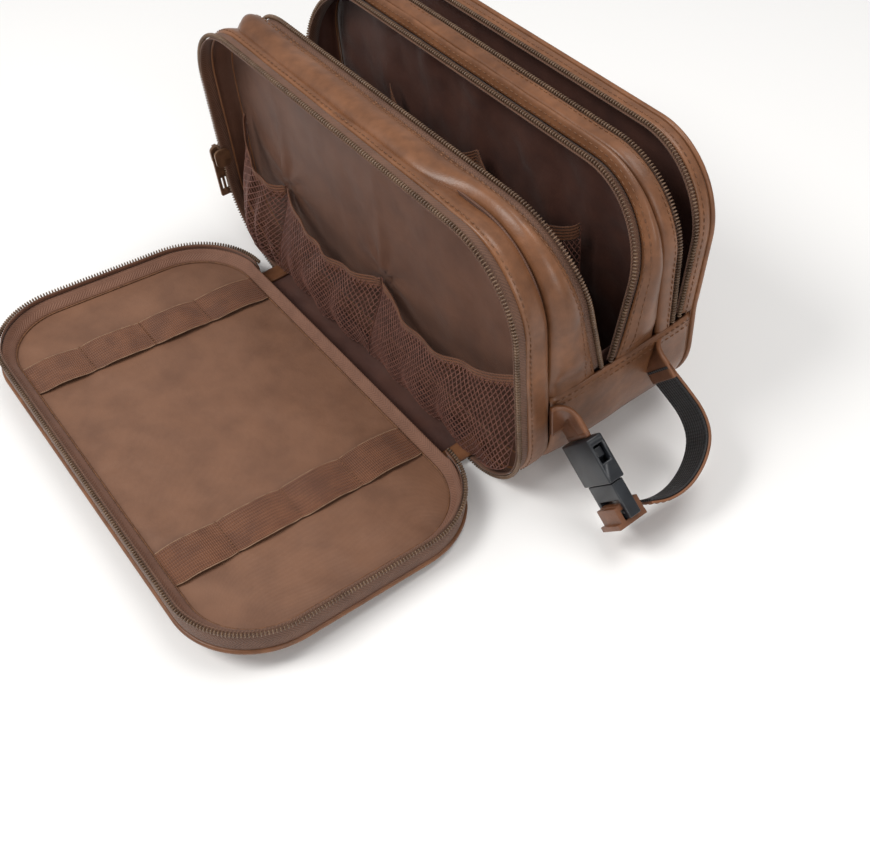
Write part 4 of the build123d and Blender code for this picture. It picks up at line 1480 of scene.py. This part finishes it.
# ---- rear compartment ----------------------------------------------------------------------------
class RearCompartment(Assembly):
    """The narrow rear compartment: its gusset, both zipper halves, the back panel and its piping."""

    FOOT = 66 * MM

    def build(self) -> None:
        """Build every piece of the rear compartment."""
        self.gusset()
        self.wall()
        self.panel()

    def gusset(self) -> None:
        """The fixed strip of leather between the main seam and the rear zipper."""
        bag = self.bag
        seam, coil = bag.rear_seam, bag.rear_zip
        profile = [(seam + 0.2 * MM, 2.4 * MM), (seam + 0.4 * MM, 1.0 * MM), (seam + 1.4 * MM, 0.1 * MM)]
        profile += [(y, -0.3 * MM) for y in np.linspace(seam + 3 * MM, coil - 3.4 * MM, 4)]
        profile += [(coil - 2.4 * MM, 0.5 * MM)]
        grid = bag.wall(Run.ARCH, profile, 60 * MM)
        hold = held_edges(grid.shape[1], 5)
        out = normals_of(grid, False)
        out *= np.sign((out * (grid - grid.mean((0, 1)))).sum())
        grid = slouch(grid, out, 0.6 * MM, 20 * MM, 8.4, hold[None, :])
        piece = cloth("rear_gusset_leather", grid, 1.6 * MM, (LEATHER, DARK_LINING), wear=2.4 * MM)
        place(piece, "leather", "root", ["rear_gusset"])
        line, out_line = bag.edge(Run.ARCH, coil - 4.4 * MM, -0.35 * MM, 62 * MM)
        place(self.stitches("rear_gusset_stitches", [(line, out_line, False)]), "leather", "root")
        strip = [(coil + y, inset) for y, inset in in_mm((-0.2, 1.6), (-1.8, 1.6), (-2.8, 1.5), (-4.4, 1.5))]
        piece = cloth("rear_front_zip_tape", bag.wall(Run.ARCH, strip, 64 * MM), 0.5 * MM, (TAPE,))
        place(piece, "binding", "root")
        name, at = "rear_front_zip_teeth", coil - 1.0 * MM
        self.zip_half(name, at, 0.1 * MM, "root", Run.ARCH, self.FOOT, "rear_zip_coil_front")

    def wall(self) -> None:
        """The wall of the back panel with its zipper half; it leans back with the panel."""
        bag = self.bag
        coil = bag.rear_zip + 3.0 * MM
        end = bag.base_rear - 0.2 * MM
        profile = [(coil + 2.2 * MM, 0.7 * MM), (coil + 3.2 * MM, 0.1 * MM)]
        profile += [(end - 2 * MM, -0.1 * MM), (end, 0.3 * MM)]
        grid = carried(bag, bag.wall(Run.ARCH, profile, self.FOOT, 8), "rear_flap")
        piece = cloth("rear_wall_leather", grid, 1.6 * MM, (LEATHER, DARK_LINING), wear=2 * MM)
        place(piece, "leather", "rear_flap", ["rear_wall"])
        strip = [(coil + y, inset) for y, inset in in_mm((-0.9, 1.6), (0.9, 1.5), (1.8, 1.4), (4.2, 1.2))]
        tape = carried(bag, bag.wall(Run.ARCH, strip, self.FOOT), "rear_flap")
        piece = cloth("rear_back_zip_tape", tape, 0.5 * MM, (TAPE,))
        place(piece, "binding", "rear_flap")
        name = "rear_back_zip_teeth"
        self.zip_half(name, coil, 0.1 * MM, "rear_flap", Run.ARCH, self.FOOT, "rear_zip_coil_rear")
        line, out = bag.edge(Run.ARCH, coil + 4.6 * MM, -0.1 * MM, self.FOOT)
        lean = bag.leans["rear_flap"]
        rest = lean.carry(line)
        ups = (lean.carry(line + out * MM) - rest) / MM
        place(self.stitches("rear_wall_stitches", [(rest, ups, False)]), "leather", "rear_flap")

    def share(self, grid: Grid) -> np.ndarray:
        """Share of the lean at each point of the back panel."""
        return smooth((grid[..., 2] - 62 * MM) / (12 * MM))

    def panel(self) -> None:
        """The back panel as one hide, slightly cushioned, with lining inside and piping round it."""
        bag = self.bag
        grid = bag.panel(bag.rear_face - 0.4 * MM, 1.0 * MM, 96, 60)
        depth = bag.outline.depth_inside(grid[..., 0], grid[..., 2]) - 1.0 * MM
        wave = ripple(grid, 40 * MM, 4.1) * 1.0 * MM * smooth(depth / (10 * MM))
        grid[..., 1] += 1.5 * MM * smooth(depth / (16 * MM)) + wave
        rest = carried(bag, grid, "rear_flap", self.share(grid))
        piece = cloth("rear_panel_hide", rest, 1.9 * MM, (LEATHER, DARK_LINING), facing=(0, 1, 0))
        bend = ((0, 0, 62 * MM), (0, 0, 74 * MM))
        stands_for = ["rear_panel_lower", "rear_panel_upper"]
        span(piece, "leather", ("root", "rear_flap"), *bend, replaces=stands_for)
        line, _ = bag.edge(Run.RING, bag.rear_face - 0.6 * MM, 0.9 * MM)
        line = carried(bag, line, "rear_flap", self.share(line))
        line[:, 2] = np.maximum(line[:, 2], 1.5 * MM)
        piece = tube("rear_piping", line, 1.35 * MM, PIPING, True, 10)
        span(piece, "leather", ("root", "rear_flap"), *bend)


# ---- front flap ----------------------------------------------------------------------------------
class FrontFlap(Assembly):
    """The flap that lies open: leather outside with a zipped pocket, a tape wall, lining and bands."""

    BODY = "front_flap"
    MOUTH_Z = 110.5 * MM
    MOUTH = (218 * MM, 13 * MM)
    FACE = -62.5 * MM

    def build(self) -> None:
        """Build every piece of the flap."""
        self.hide()
        self.pocket_zip()
        self.wall()
        self.lining()
        self.bands()
        self.hinge()

    def put(
        self, name: str, grid: Grid, thick: float, finishes: Sequence[Finish], slot: str,
        replaces: Sequence[str] = (), **options: object,
    ) -> Piece:
        """Carry a grid to the flap's rest pose and make it a piece of cloth on the flap."""
        piece = cloth(name, carried(self.bag, grid, self.BODY), thick, finishes, **options)
        return place(piece, slot, self.BODY, replaces)

    def row(self, line: np.ndarray, way: float) -> tuple[np.ndarray, np.ndarray, bool]:
        """A row of stitches or teeth carried to rest, standing up along +Y or, with way -1, along -Y."""
        rest = carried(self.bag, line, self.BODY)
        tips = carried(self.bag, line + np.array([0, way * MM, 0]), self.BODY)
        return rest, (tips - rest) / MM, False

    def patch(self, y: float, z: np.ndarray, low: Callable, high: Callable, cols: int) -> Grid:
        """Grid at y over rows z, from x = low(z) to x = high(z)."""
        share = np.linspace(0, 1, cols)[:, None]
        grid = np.zeros((cols, len(z), 3))
        grid[..., 0] = low(z)[None, :] * (1 - share) + high(z)[None, :] * share
        grid[..., 1] = y
        grid[..., 2] = z[None, :]
        return grid

    def hide(self) -> None:
        """The outer leather round the pocket's mouth, its stitches and its piping."""
        bag = self.bag
        inset, face = 1.4 * MM, self.FACE
        half_mouth = self.MOUTH[0] / 2
        top, base = self.MOUTH_Z + self.MOUTH[1] / 2, self.MOUTH_Z - self.MOUTH[1] / 2

        def edge(z: np.ndarray) -> np.ndarray:
            """Half-width of the leather at each height."""
            return bag.outline.width_at(z, inset)

        def close_rows(low: float, high: float, count: int) -> np.ndarray:
            """Heights from low to high, closer together at both ends."""
            turn = np.linspace(0, math.pi, count)
            return low + (high - low) * (0.5 - 0.5 * np.cos(turn))

        upper = close_rows(top, bag.outline.height - inset - 0.1 * MM, 20)
        lower = close_rows(inset + 0.1 * MM, base, 44)
        band = np.linspace(base, top, 8)
        grids = [
            self.patch(face, upper, lambda z: -edge(z), edge, 90),
            self.patch(face, lower, lambda z: -edge(z), edge, 90),
            self.patch(face, band, lambda z: -edge(z), lambda z: np.full(len(z), -half_mouth), 10),
            self.patch(face, band, lambda z: np.full(len(z), half_mouth), edge, 10),
        ]
        parts = []
        for index, grid in enumerate(grids):
            depth = bag.outline.depth_inside(grid[..., 0], grid[..., 2]) - inset
            gap = np.abs(grid[..., 2] - self.MOUTH_Z) - self.MOUTH[1] / 2
            beside = np.maximum(gap, np.abs(grid[..., 0]) - half_mouth)
            free = smooth(depth / (12 * MM)) * smooth(beside / (9 * MM))
            grid[..., 1] -= free * (ripple(grid, 36 * MM, 6.2) * 0.5 * MM + 0.5 * MM) - 0.2 * MM
            rest = carried(bag, grid, self.BODY)
            part = cloth(f"flap_hide_{index}", rest, 0.95 * MM, (LEATHER, WALL_LINING), facing=(0, 0, -1))
            parts.append(part)
        piece = join(parts, "flap_hide")
        place(piece, "leather", self.BODY, ["flap_panel"])
        rows = []
        wide = 122 * MM
        for z, reach in ((top + 2.4 * MM, wide), (base - 2.2 * MM, half_mouth + 4 * MM)):
            x = np.arange(-reach, reach, 3 * MM)
            line = np.stack([x, np.full(len(x), face - 0.25 * MM), np.full(len(x), z)], -1)
            rows.append(self.row(line, -1))
        place(self.stitches("flap_hide_stitches", rows), "leather", self.BODY)
        line, _ = bag.edge(Run.RING, face + 1.0 * MM, 1.3 * MM)
        piece = tube("flap_piping", carried(bag, line, self.BODY), 1.3 * MM, PIPING, True, 10)
        place(piece, "leather", self.BODY)

    def pocket_zip(self) -> None:
        """Both tapes, the meshed teeth and the end tabs of the zipped pocket, and the pocket's bag."""
        bag = self.bag
        half, reach = self.MOUTH[0] / 2, self.MOUTH[1] / 2
        for sign, node in ((1, "pocket_zip_upper"), (-1, "pocket_zip_lower")):
            z = self.MOUTH_Z + sign * np.linspace(0.4 * MM, reach + 0.4 * MM, 7)
            grid = self.patch(
                -61.95 * MM, z, lambda q: np.full(len(q), -half), lambda q: np.full(len(q), half), 60
            )
            grid[..., 1] += ripple(grid, 18 * MM, 2.7) * 0.10 * MM
            name = node.replace("pocket_zip", "pocket_zip_tape")
            self.put(name, grid, 0.4 * MM, (TAPE,), "binding", [node], facing=(0, 0, -1))
        x = np.linspace(-half + 4 * MM, half - 4 * MM, 120)
        line = np.stack([x, np.full(len(x), -62.1 * MM), np.full(len(x), self.MOUTH_Z)], -1)
        tooth = (0.95 * MM, 3.4 * MM, 1.0 * MM)
        piece = bag.repeats.beads("pocket_zip_teeth", [self.row(line, -1)], 1.25 * MM, tooth, COIL)
        place(piece, "zipper_coil", self.BODY)
        tabs, rows = [], []
        for sign in (-1, 1):
            z = np.linspace(self.MOUTH_Z - reach - 1 * MM, self.MOUTH_Z + reach + 1 * MM, 12)
            mid = sign * half
            grid = self.patch(
                -62.85 * MM, z, lambda q, m=mid: np.full(len(q), m - 6 * MM),
                lambda q, m=mid: np.full(len(q), m + 6 * MM), 10,
            )
            rest_tab = carried(bag, grid, self.BODY)
            tabs.append(cloth(f"tab_{sign}", rest_tab, 0.6 * MM, (LEATHER,), facing=(0, 0, -1)))
            line = np.stack([np.full(12, mid - sign * 4.4 * MM), np.full(12, -62.95 * MM), z], -1)
            rows.append(self.row(line, -1))
        place(join(tabs, "pocket_end_leather"), "leather", self.BODY, ["pocket_end_tabs"])
        place(self.stitches("pocket_end_stitches", rows), "leather", self.BODY)
        grid = bag.panel(-58.6 * MM, 20 * MM, 40, 26)
        grid[..., 1] += np.clip(ripple(grid, 30 * MM, 1.4) * 0.3 * MM, -0.2 * MM, 0.2 * MM)
        piece = self.put(
            "flap_pocket_cloth", grid, 0.3 * MM, (WALL_LINING,), "lining", ["flap_pocket_lining"],
            facing=(0, 0, 1),
        )

    def wall(self) -> None:
        """The tape wall round the flap with its zipper half, and the soft ridge inside it."""
        bag = self.bag
        profile = in_mm((-61.0, 1.5), (-58.5, 1.0), (-55, 0.9), (-52.2, 1.3), (-50.6, 1.9), (-48.4, 2.6))
        grid = bag.wall(Run.HORSESHOE, profile, 0, 10)
        self.put("flap_wall_tape", grid, 0.6 * MM, (TAPE, BINDING), "binding", ["flap_wall"])
        self.zip_half("flap_zip_teeth", -49.1 * MM, 1.0 * MM, self.BODY, Run.HORSESHOE, 0, "flap_coil")
        ridge = in_mm((-51.2, 2.9), (-51.6, 3.9), (-53.2, 5.4), (-54.6, 7.0), (-55.8, 8.2), (-56.7, 8.4))

        def swell(places: np.ndarray, share: np.ndarray) -> np.ndarray:
            """Plump the ridge unevenly between its two seams."""
            plump = ripple(upright(places), 14 * MM, 3.3) * 0.7 * MM
            return plump[:, None] * np.sin(math.pi * share)[None, :]

        grid = bag.wall(Run.RING, ridge, 0, 12, swell)
        flat = grid[..., 2] < 9 * MM
        grid[..., 1] -= np.where(flat & (np.abs(grid[..., 0]) < 92 * MM), 1.2 * MM, 0)
        piece = self.put(
            "flap_ridge", grid, 0.9 * MM, (BINDING,), "binding", ["flap_binding"],
            closed=True, facing=(0, 0, 1),
        )
        seam, _ = bag.edge(Run.RING, -56.6 * MM, 8.7 * MM)
        line = carried(bag, seam, self.BODY)
        tape = tube("flap_ridge_seam", line, 0.45 * MM, THREAD, True, 6)
        place(tape, "binding", self.BODY)

    def lining(self) -> None:
        """The flap's lining: taut over foam, with soft waves and puckers round the edge."""
        bag = self.bag
        grid = bag.panel(-57.1 * MM, 3.4 * MM, 120, 72)
        depth = bag.outline.depth_inside(grid[..., 0], grid[..., 2]) - 8.4 * MM
        hold = smooth(depth / (8 * MM))
        push = ripple(grid, 38 * MM, 2.9, (1.3, 1, 1)) * 1.5 * MM + ripple(grid, 15 * MM, 7.7) * 0.5 * MM
        angle = np.arctan2(grid[..., 2] - 74 * MM, grid[..., 0])
        rim = np.exp(-np.maximum(depth, 0) / (9 * MM)) * smooth(depth / (2 * MM))
        pucker = ripple(np.stack([angle * 90 * MM, 0 * angle, 0 * angle], -1), 7 * MM, 1.3) * 1.4 * MM
        lift = push + pucker * rim
        for node in ("elastic_band_left", "elastic_band_right"):
            low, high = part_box(node)
            under = np.abs(grid[..., 0] - (low.x + high.x) / 2) < 12 * MM
            lift = np.where(under, np.minimum(lift, 0.2 * MM), lift)
        grid[..., 1] += np.clip(lift * hold, -0.2 * MM, 2.2 * MM)
        piece = self.put(
            "flap_lining_cloth", grid, 0.8 * MM, (FLAP_LINING, WALL_LINING), "lining", ["flap_lining"],
            facing=(0, 0, 1),
        )

    def bands(self) -> None:
        """Two ribbed elastic bands, stitched down across their width in three places."""
        bag = self.bag
        low_z, high_z, wide = 9 * MM, 139 * MM, 22 * MM
        tacks = (0.27, 0.52, 0.77)
        for side in ("left", "right"):
            low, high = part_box(f"elastic_band_{side}")
            middle = (low.x + high.x) / 2
            share = np.linspace(0, 1, 150)
            ribs = 85
            across = np.linspace(-0.5, 0.5, ribs)
            gap = np.min(np.abs(share[:, None] - np.array((0.0, *tacks, 1.0))[None, :]), axis=1)
            loft = 1.7 * MM * smooth(gap / 0.1)
            grid = np.zeros((len(share), ribs, 3))
            narrow = 1 - 0.05 * np.exp(-((gap / 0.02) ** 2))
            grid[..., 0] = middle + across[None, :] * wide * narrow[:, None]
            phase = 1.3 if side == "left" else 0.2
            wave = np.sin(share * 31 + phase) * 0.2 * MM * smooth(np.minimum(share, 1 - share) * 8)
            grid[..., 0] += wave[:, None]
            grid[..., 2] = low_z + (high_z - low_z) * share[:, None]
            grid[..., 1] = -55.9 * MM + loft[:, None] * (1 - (2 * across[None, :]) ** 4 * 0.35)
            grid[..., 1] += 0.20 * MM * np.abs(np.sin(across * math.pi * 12))[None, :]
            stands_for = [f"elastic_band_{side}"]
            self.put(f"flap_band_{side}", grid, 0.8 * MM, (ELASTIC,), "elastic", stands_for, facing=(0, 0, 1))
            for number, column in (("a", 0), ("b", -1)):
                line = carried(bag, grid[:, column] + np.array([0, 0.1 * MM, 0]), self.BODY)
                piece = tube(f"flap_band_{side}_edge_{number}", line, 0.26 * MM, PALE_THREAD, False, 6)
                place(piece, "elastic", self.BODY)
            rows = []
            for tack in tacks:
                row = int(round(tack * (len(share) - 1)))
                line = grid[row, ::4] + np.array([0, 0.35 * MM, 0])
                rows.append(self.row(line, 1))
            piece = bag.repeats.beads(
                f"flap_band_{side}_stitches", rows, 1.9 * MM, (1.5 * MM, 0.6 * MM, 0.6 * MM), THREAD
            )
            place(piece, "elastic", self.BODY)

    def hinge(self) -> None:
        """The lined strip that joins the flap to the body along the base, and a leather tab at each end."""
        low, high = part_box("hinge_strip")
        profile = in_mm((-37.5, 3.6), (-41, 3.0), (-45, 2.4), (-50, 2.1), (-54, 2.1))
        profile += in_mm((-56.5, 2.5), (-58.2, 3.4), (-59.0, 4.8), (-59.6, 6.2), (-61.5, 7.0))
        points = np.array(profile)
        x = np.linspace(low.x, high.x, 60)
        fine = np.linspace(0, 1, 22)
        known = np.linspace(0, 1, len(points))
        grid = np.zeros((60, 22, 3))
        grid[..., 0] = x[:, None]
        grid[..., 1] = np.interp(fine, known, points[:, 0])[None, :]
        grid[..., 2] = np.interp(fine, known, points[:, 1])[None, :]
        grid[..., 2] += np.abs(ripple(grid, 16 * MM, 3.8)) * 1.1 * MM * np.sin(math.pi * fine)[None, :]
        piece = cloth("hinge_cloth", grid, 1.2 * MM, (DARK_LINING, LEATHER), facing=(0, 0, 1))
        bodies, bend = ("root", self.BODY), ((0, -56 * MM, 3 * MM), (0, -60 * MM, 6 * MM))
        span(piece, "lining", bodies, *bend, replaces=["hinge_strip"])
        for side, middle in (("left", low.x), ("right", high.x)):
            tab = grid[:12].copy()
            tab[..., 0] = middle + (np.linspace(-5, 5, 12) * MM)[:, None]
            tab[..., 2] += 1.5 * MM
            piece = cloth(f"hinge_tab_{side}", tab, 1.4 * MM, (LEATHER,), facing=(0, 0, 1), wear=1 * MM)
            span(piece, "leather", bodies, *bend)


def join(parts: Sequence[Piece], name: str) -> Piece:
    """Join mesh objects into one.

    Args:
        parts: The objects, which are used up.
        name: Name of the result.

    Returns:
        The joined object.
    """
    with bpy.context.temp_override(
        active_object=parts[0], object=parts[0], selected_objects=list(parts),
        selected_editable_objects=list(parts),
    ):
        bpy.ops.object.join()
    parts[0].name = name
    parts[0].data.name = name
    return parts[0]


# ---- wrist strap ---------------------------------------------------------------------------------
class WristStrap(Assembly):
    """The strap's loop, its sewn tabs, and the side-release buckle."""

    DROOP = math.radians(40)
    HALF = 9.6 * MM
    LOOP = (
        (4, 31.9), (9, 32.6), (20, 34.6), (30, 35.9), (39.5, 34.2), (46, 29.6),
        (51.5, 22), (55, 13), (56, 5), (55, -3), (51.6, -10.6),
    )

    def build(self) -> None:
        """Build the strap, its two tabs and folds, and the buckle."""
        self.pivot = next(j["pos_m"] for j in self.bag.frame["joints"] if j["name"] == "handle_swing")
        self.loop()
        self.anchor("front", -22 * MM)
        self.anchor("rear", 31.9 * MM)
        self.ends()
        self.buckle()

    def at(self, along: np.ndarray, y: np.ndarray, up: np.ndarray) -> Grid:
        """Points given along the loop, across the bag and up from the loop's plane."""
        c, s = math.cos(self.DROOP), math.sin(self.DROOP)
        along, y, up = np.broadcast_arrays(along, y, up)
        return np.stack([self.pivot[0] + along * c + up * s, y, self.pivot[2] - along * s + up * c], -1)

    def loop(self) -> None:
        """The long loop: leather outside on webbing, with stitches near both edges."""
        known = np.array(self.LOOP) * MM
        path = known
        for _ in range(3):
            near, far = path[:-1] * 0.75 + path[1:] * 0.25, path[:-1] * 0.25 + path[1:] * 0.75
            cut = np.concatenate([near, far], 1).reshape(-1, 2)
            path = np.concatenate([path[:1], cut, path[-1:]])
        tangent = np.gradient(path, axis=0)
        tangent /= np.linalg.norm(tangent, axis=1, keepdims=True)
        out = np.stack([-tangent[:, 1], tangent[:, 0]], -1)
        middle = path.mean(0)
        out *= np.sign(((path - middle) * out).sum(1, keepdims=True))
        up = np.linspace(-self.HALF, self.HALF, 12)
        skins = []
        for offset, thick, name, finishes in (
            (1.25 * MM, 1.15 * MM, "strap_hide", (STRAP_LEATHER,)),
            (-1.15 * MM, 1.15 * MM, "strap_webbing", (WEBBING,)),
        ):
            line = path + out * offset
            narrow = 1.0 if offset > 0 else 0.94
            grid = self.at(line[:, None, 0], line[:, None, 1], up[None, :] * narrow)
            skins.append(cloth(name, grid, thick, finishes, wear=1.1 * MM, turned=math.copysign(1, offset)))
        place(skins[0], "strap_leather", "handle", ["strap"])
        place(skins[1], "strap_leather", "handle")
        rows = []
        for side in (-1, 1):
            line = path + out * 1.3 * MM
            row = np.full(len(line), side * (self.HALF - 1.8 * MM))
            points = self.at(line[:, 0], line[:, 1], row)
            ups = self.at(line[:, 0] + out[:, 0] * MM, line[:, 1] + out[:, 1] * MM, row)
            rows.append((points, (ups - points) / MM, False))
        place(self.stitches("strap_stitches", rows, THREAD, "strap_leather"), "strap_leather", "handle")

    def anchor(self, side: str, y: float) -> None:
        """The flat leather tab that comes out of a seam of the side band and turns out along the strap."""
        low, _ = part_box(f"strap_anchor_{side}")
        seam = -1 if side == "front" else 1
        share = np.linspace(0, 1, 26)
        up = np.linspace(-self.HALF, self.HALF, 10)
        away = self.at((15 * share - 4.5)[:, None] * MM, np.full((26, 10), y + 1.25 * MM), up[None, :])
        away[..., 0] = np.maximum(away[..., 0], low.x + 1.4 * MM)
        flat = np.empty((26, 10, 3))
        flat[..., 0] = low.x + 1.4 * MM
        flat[..., 1] = (y + 1.25 * MM + seam * 9 * MM * (1 - smooth(share * 2)))[:, None]
        flat[..., 2] = self.pivot[2] + up[None, :] * 0.92
        turn = smooth((share - 0.14) / 0.36)[:, None, None]
        grid = flat * (1 - turn) + away * turn
        piece = cloth(f"strap_tab_{side}", grid, 2.2 * MM, (STRAP_LEATHER,), facing=(0, 1, 0), wear=1 * MM)
        start = tuple(float(v) for v in grid[12, 5])
        end = tuple(float(v) for v in self.at(np.array(9 * MM), np.array(y), np.array(0.0)))
        span(piece, "strap_leather", ("root", "handle"), start, end, [f"strap_anchor_{side}"])

    def ends(self) -> None:
        """The leather folded round the buckle's two bars, with a row of stitches across the fold at the
        socket.
        """
        for node, body, name in (
            ("socket_strap", "handle", "strap_socket_fold"), ("strap_end", "buckle_plug", "strap_plug_fold"),
        ):
            piece = softened(node, name, STRAP_LEATHER, 0.7 * MM)
            place(piece, "strap_leather", body, [node])
        up = np.linspace(-7.6 * MM, 7.6 * MM, 6)
        along, y = 10.4 * MM, -20.7 * MM
        line = self.at(np.full(6, along), np.full(6, y), up)
        rows = [(line, np.broadcast_to(np.array([0.0, 1.0, 0.0]), line.shape), False)]
        stitches = self.stitches("strap_socket_stitches", rows, THREAD, "strap_leather")
        place(stitches, "strap_leather", "handle")

    def buckle(self) -> None:
        """Socket, plug and both prongs, with moulded edges."""
        for node, body in (
            ("buckle_socket", "handle"), ("buckle_plug", "buckle_plug"),
            ("prong_upper", "prong_upper"), ("prong_lower", "prong_lower"),
        ):
            width = 1.1 * MM if node == "buckle_socket" else 0.5 * MM
            place(softened(node, f"{node}_moulded", BUCKLE, width), "buckle_plastic", body, [node])


# ---- sliders -------------------------------------------------------------------------------------
class Sliders(Assembly):
    """The four zipper sliders with their pullers."""

    def build(self) -> None:
        """Round the cast edges of every slider and puller."""
        for zipper in ("front", "main", "rear", "pocket"):
            for kind, width in (("slider", 0.45 * MM), ("puller", 0.35 * MM)):
                node = f"{zipper}_{kind}"
                place(softened(node, f"{node}_cast", METAL, width), "zipper_metal", node, [node])


# ---- studio --------------------------------------------------------------------------------------
@dataclass(frozen=True)
class Camera:
    """The camera, high beyond the strap's end, where the inside of the open bag shows."""

    azimuth: float = math.radians(51.2)
    elevation: float = math.radians(47.3)
    roll: float = math.radians(-1.0)
    distance: float = 526.6 * MM
    target: tuple[float, float, float] = (102.8 * MM, -15.9 * MM, 40 * MM)
    lens: float = 45.75
    shift: tuple[float, float] = (-0.1086, -0.0413)

    def build(self) -> None:
        """Add the camera and make it the scene's."""
        a, e, r = self.azimuth, self.elevation, self.roll
        back = Vector((math.sin(a) * math.cos(e), -math.cos(a) * math.cos(e), math.sin(e)))
        right = Vector((math.cos(a), math.sin(a), 0))
        up = back.cross(right)
        turned_right = right * math.cos(r) + up * math.sin(r)
        turned_up = up * math.cos(r) - right * math.sin(r)
        data = bpy.data.cameras.new("open_bag_camera")
        data.sensor_width, data.lens = 36, self.lens
        data.shift_x, data.shift_y = self.shift
        data.clip_start, data.clip_end = 0.01, 20
        camera = bpy.data.objects.new("open_bag_camera", data)
        camera.matrix_world = Matrix.Translation(Vector(self.target) + back * self.distance) @ Matrix(
            (turned_right, turned_up, back)
        ).transposed().to_4x4()
        bpy.context.scene.collection.objects.link(camera)
        bpy.context.scene.camera = camera


@dataclass(frozen=True)
class Lamp:
    """One soft area lamp, aimed at the bag."""

    name: str
    place: tuple[float, float, float]
    size: float
    watts: float
    colour: Colour = (1.0, 0.98, 0.95)

    def build(self) -> None:
        """Add the lamp."""
        data = bpy.data.lights.new(self.name, "AREA")
        data.shape, data.size, data.energy, data.color = "DISK", self.size, self.watts, self.colour
        lamp = bpy.data.objects.new(self.name, data)
        lamp.location = self.place
        aim = Vector((0, -0.03, 0.06)) - Vector(self.place)
        lamp.rotation_euler = aim.to_track_quat("-Z", "Y").to_euler()
        bpy.context.scene.collection.objects.link(lamp)


@dataclass(frozen=True)
class Studio:
    """A pale floor, even surroundings and soft lamps."""

    floor: float = 6.0
    floor_colour: Colour = (0.93, 0.93, 0.93)
    surround: float = 0.40
    lamps: tuple[Lamp, ...] = (
        Lamp("key", (-0.25, -0.75, 1.05), 0.55, 9.0),
        Lamp("top", (0.15, 0.35, 1.25), 0.7, 6.0),
        Lamp("right", (1.05, -0.25, 0.65), 0.5, 3.0),
    )

    def build(self) -> None:
        """Add the floor, the surroundings and the lamps."""
        half = self.floor / 2
        corners = np.array([[-half, -half, 0], [half, -half, 0], [half, half, 0], [-half, half, 0]])
        mesh = bpy.data.meshes.new("floor")
        mesh.from_pydata(corners.tolist(), [], [(0, 1, 2, 3)])
        floor = bpy.data.objects.new("floor", mesh)
        bpy.context.scene.collection.objects.link(floor)
        nodes = Nodes("floor")
        nodes.shader.inputs["Base Color"].default_value = (*self.floor_colour, 1)
        nodes.shader.inputs["Roughness"].default_value = 0.9
        mesh.materials.append(nodes.material)
        world = bpy.data.worlds.new("surroundings")
        world.use_nodes = True
        world.node_tree.nodes["Background"].inputs["Color"].default_value = (1, 1, 1, 1)
        world.node_tree.nodes["Background"].inputs["Strength"].default_value = self.surround
        bpy.context.scene.world = world
        bpy.context.scene.view_settings.view_transform = "Standard"
        for lamp in self.lamps:
            lamp.build()


def main() -> None:
    """Build the bag from its frame, piece by piece, and the studio round it."""
    logging.basicConfig(level=logging.INFO, format="%(message)s")
    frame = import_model()
    bag = Bag(frame, Repeats())
    assemblies = (Base, FrontCompartment, MainCompartment, RearCompartment, FrontFlap, WristStrap, Sliders)
    for assembly in assemblies:
        log.info("building %s", assembly.__name__)
        assembly(bag).build()
    Studio().build()
    Camera().build()
    bpy.context.view_layer.update()


if __name__ == "__main__":
    main()
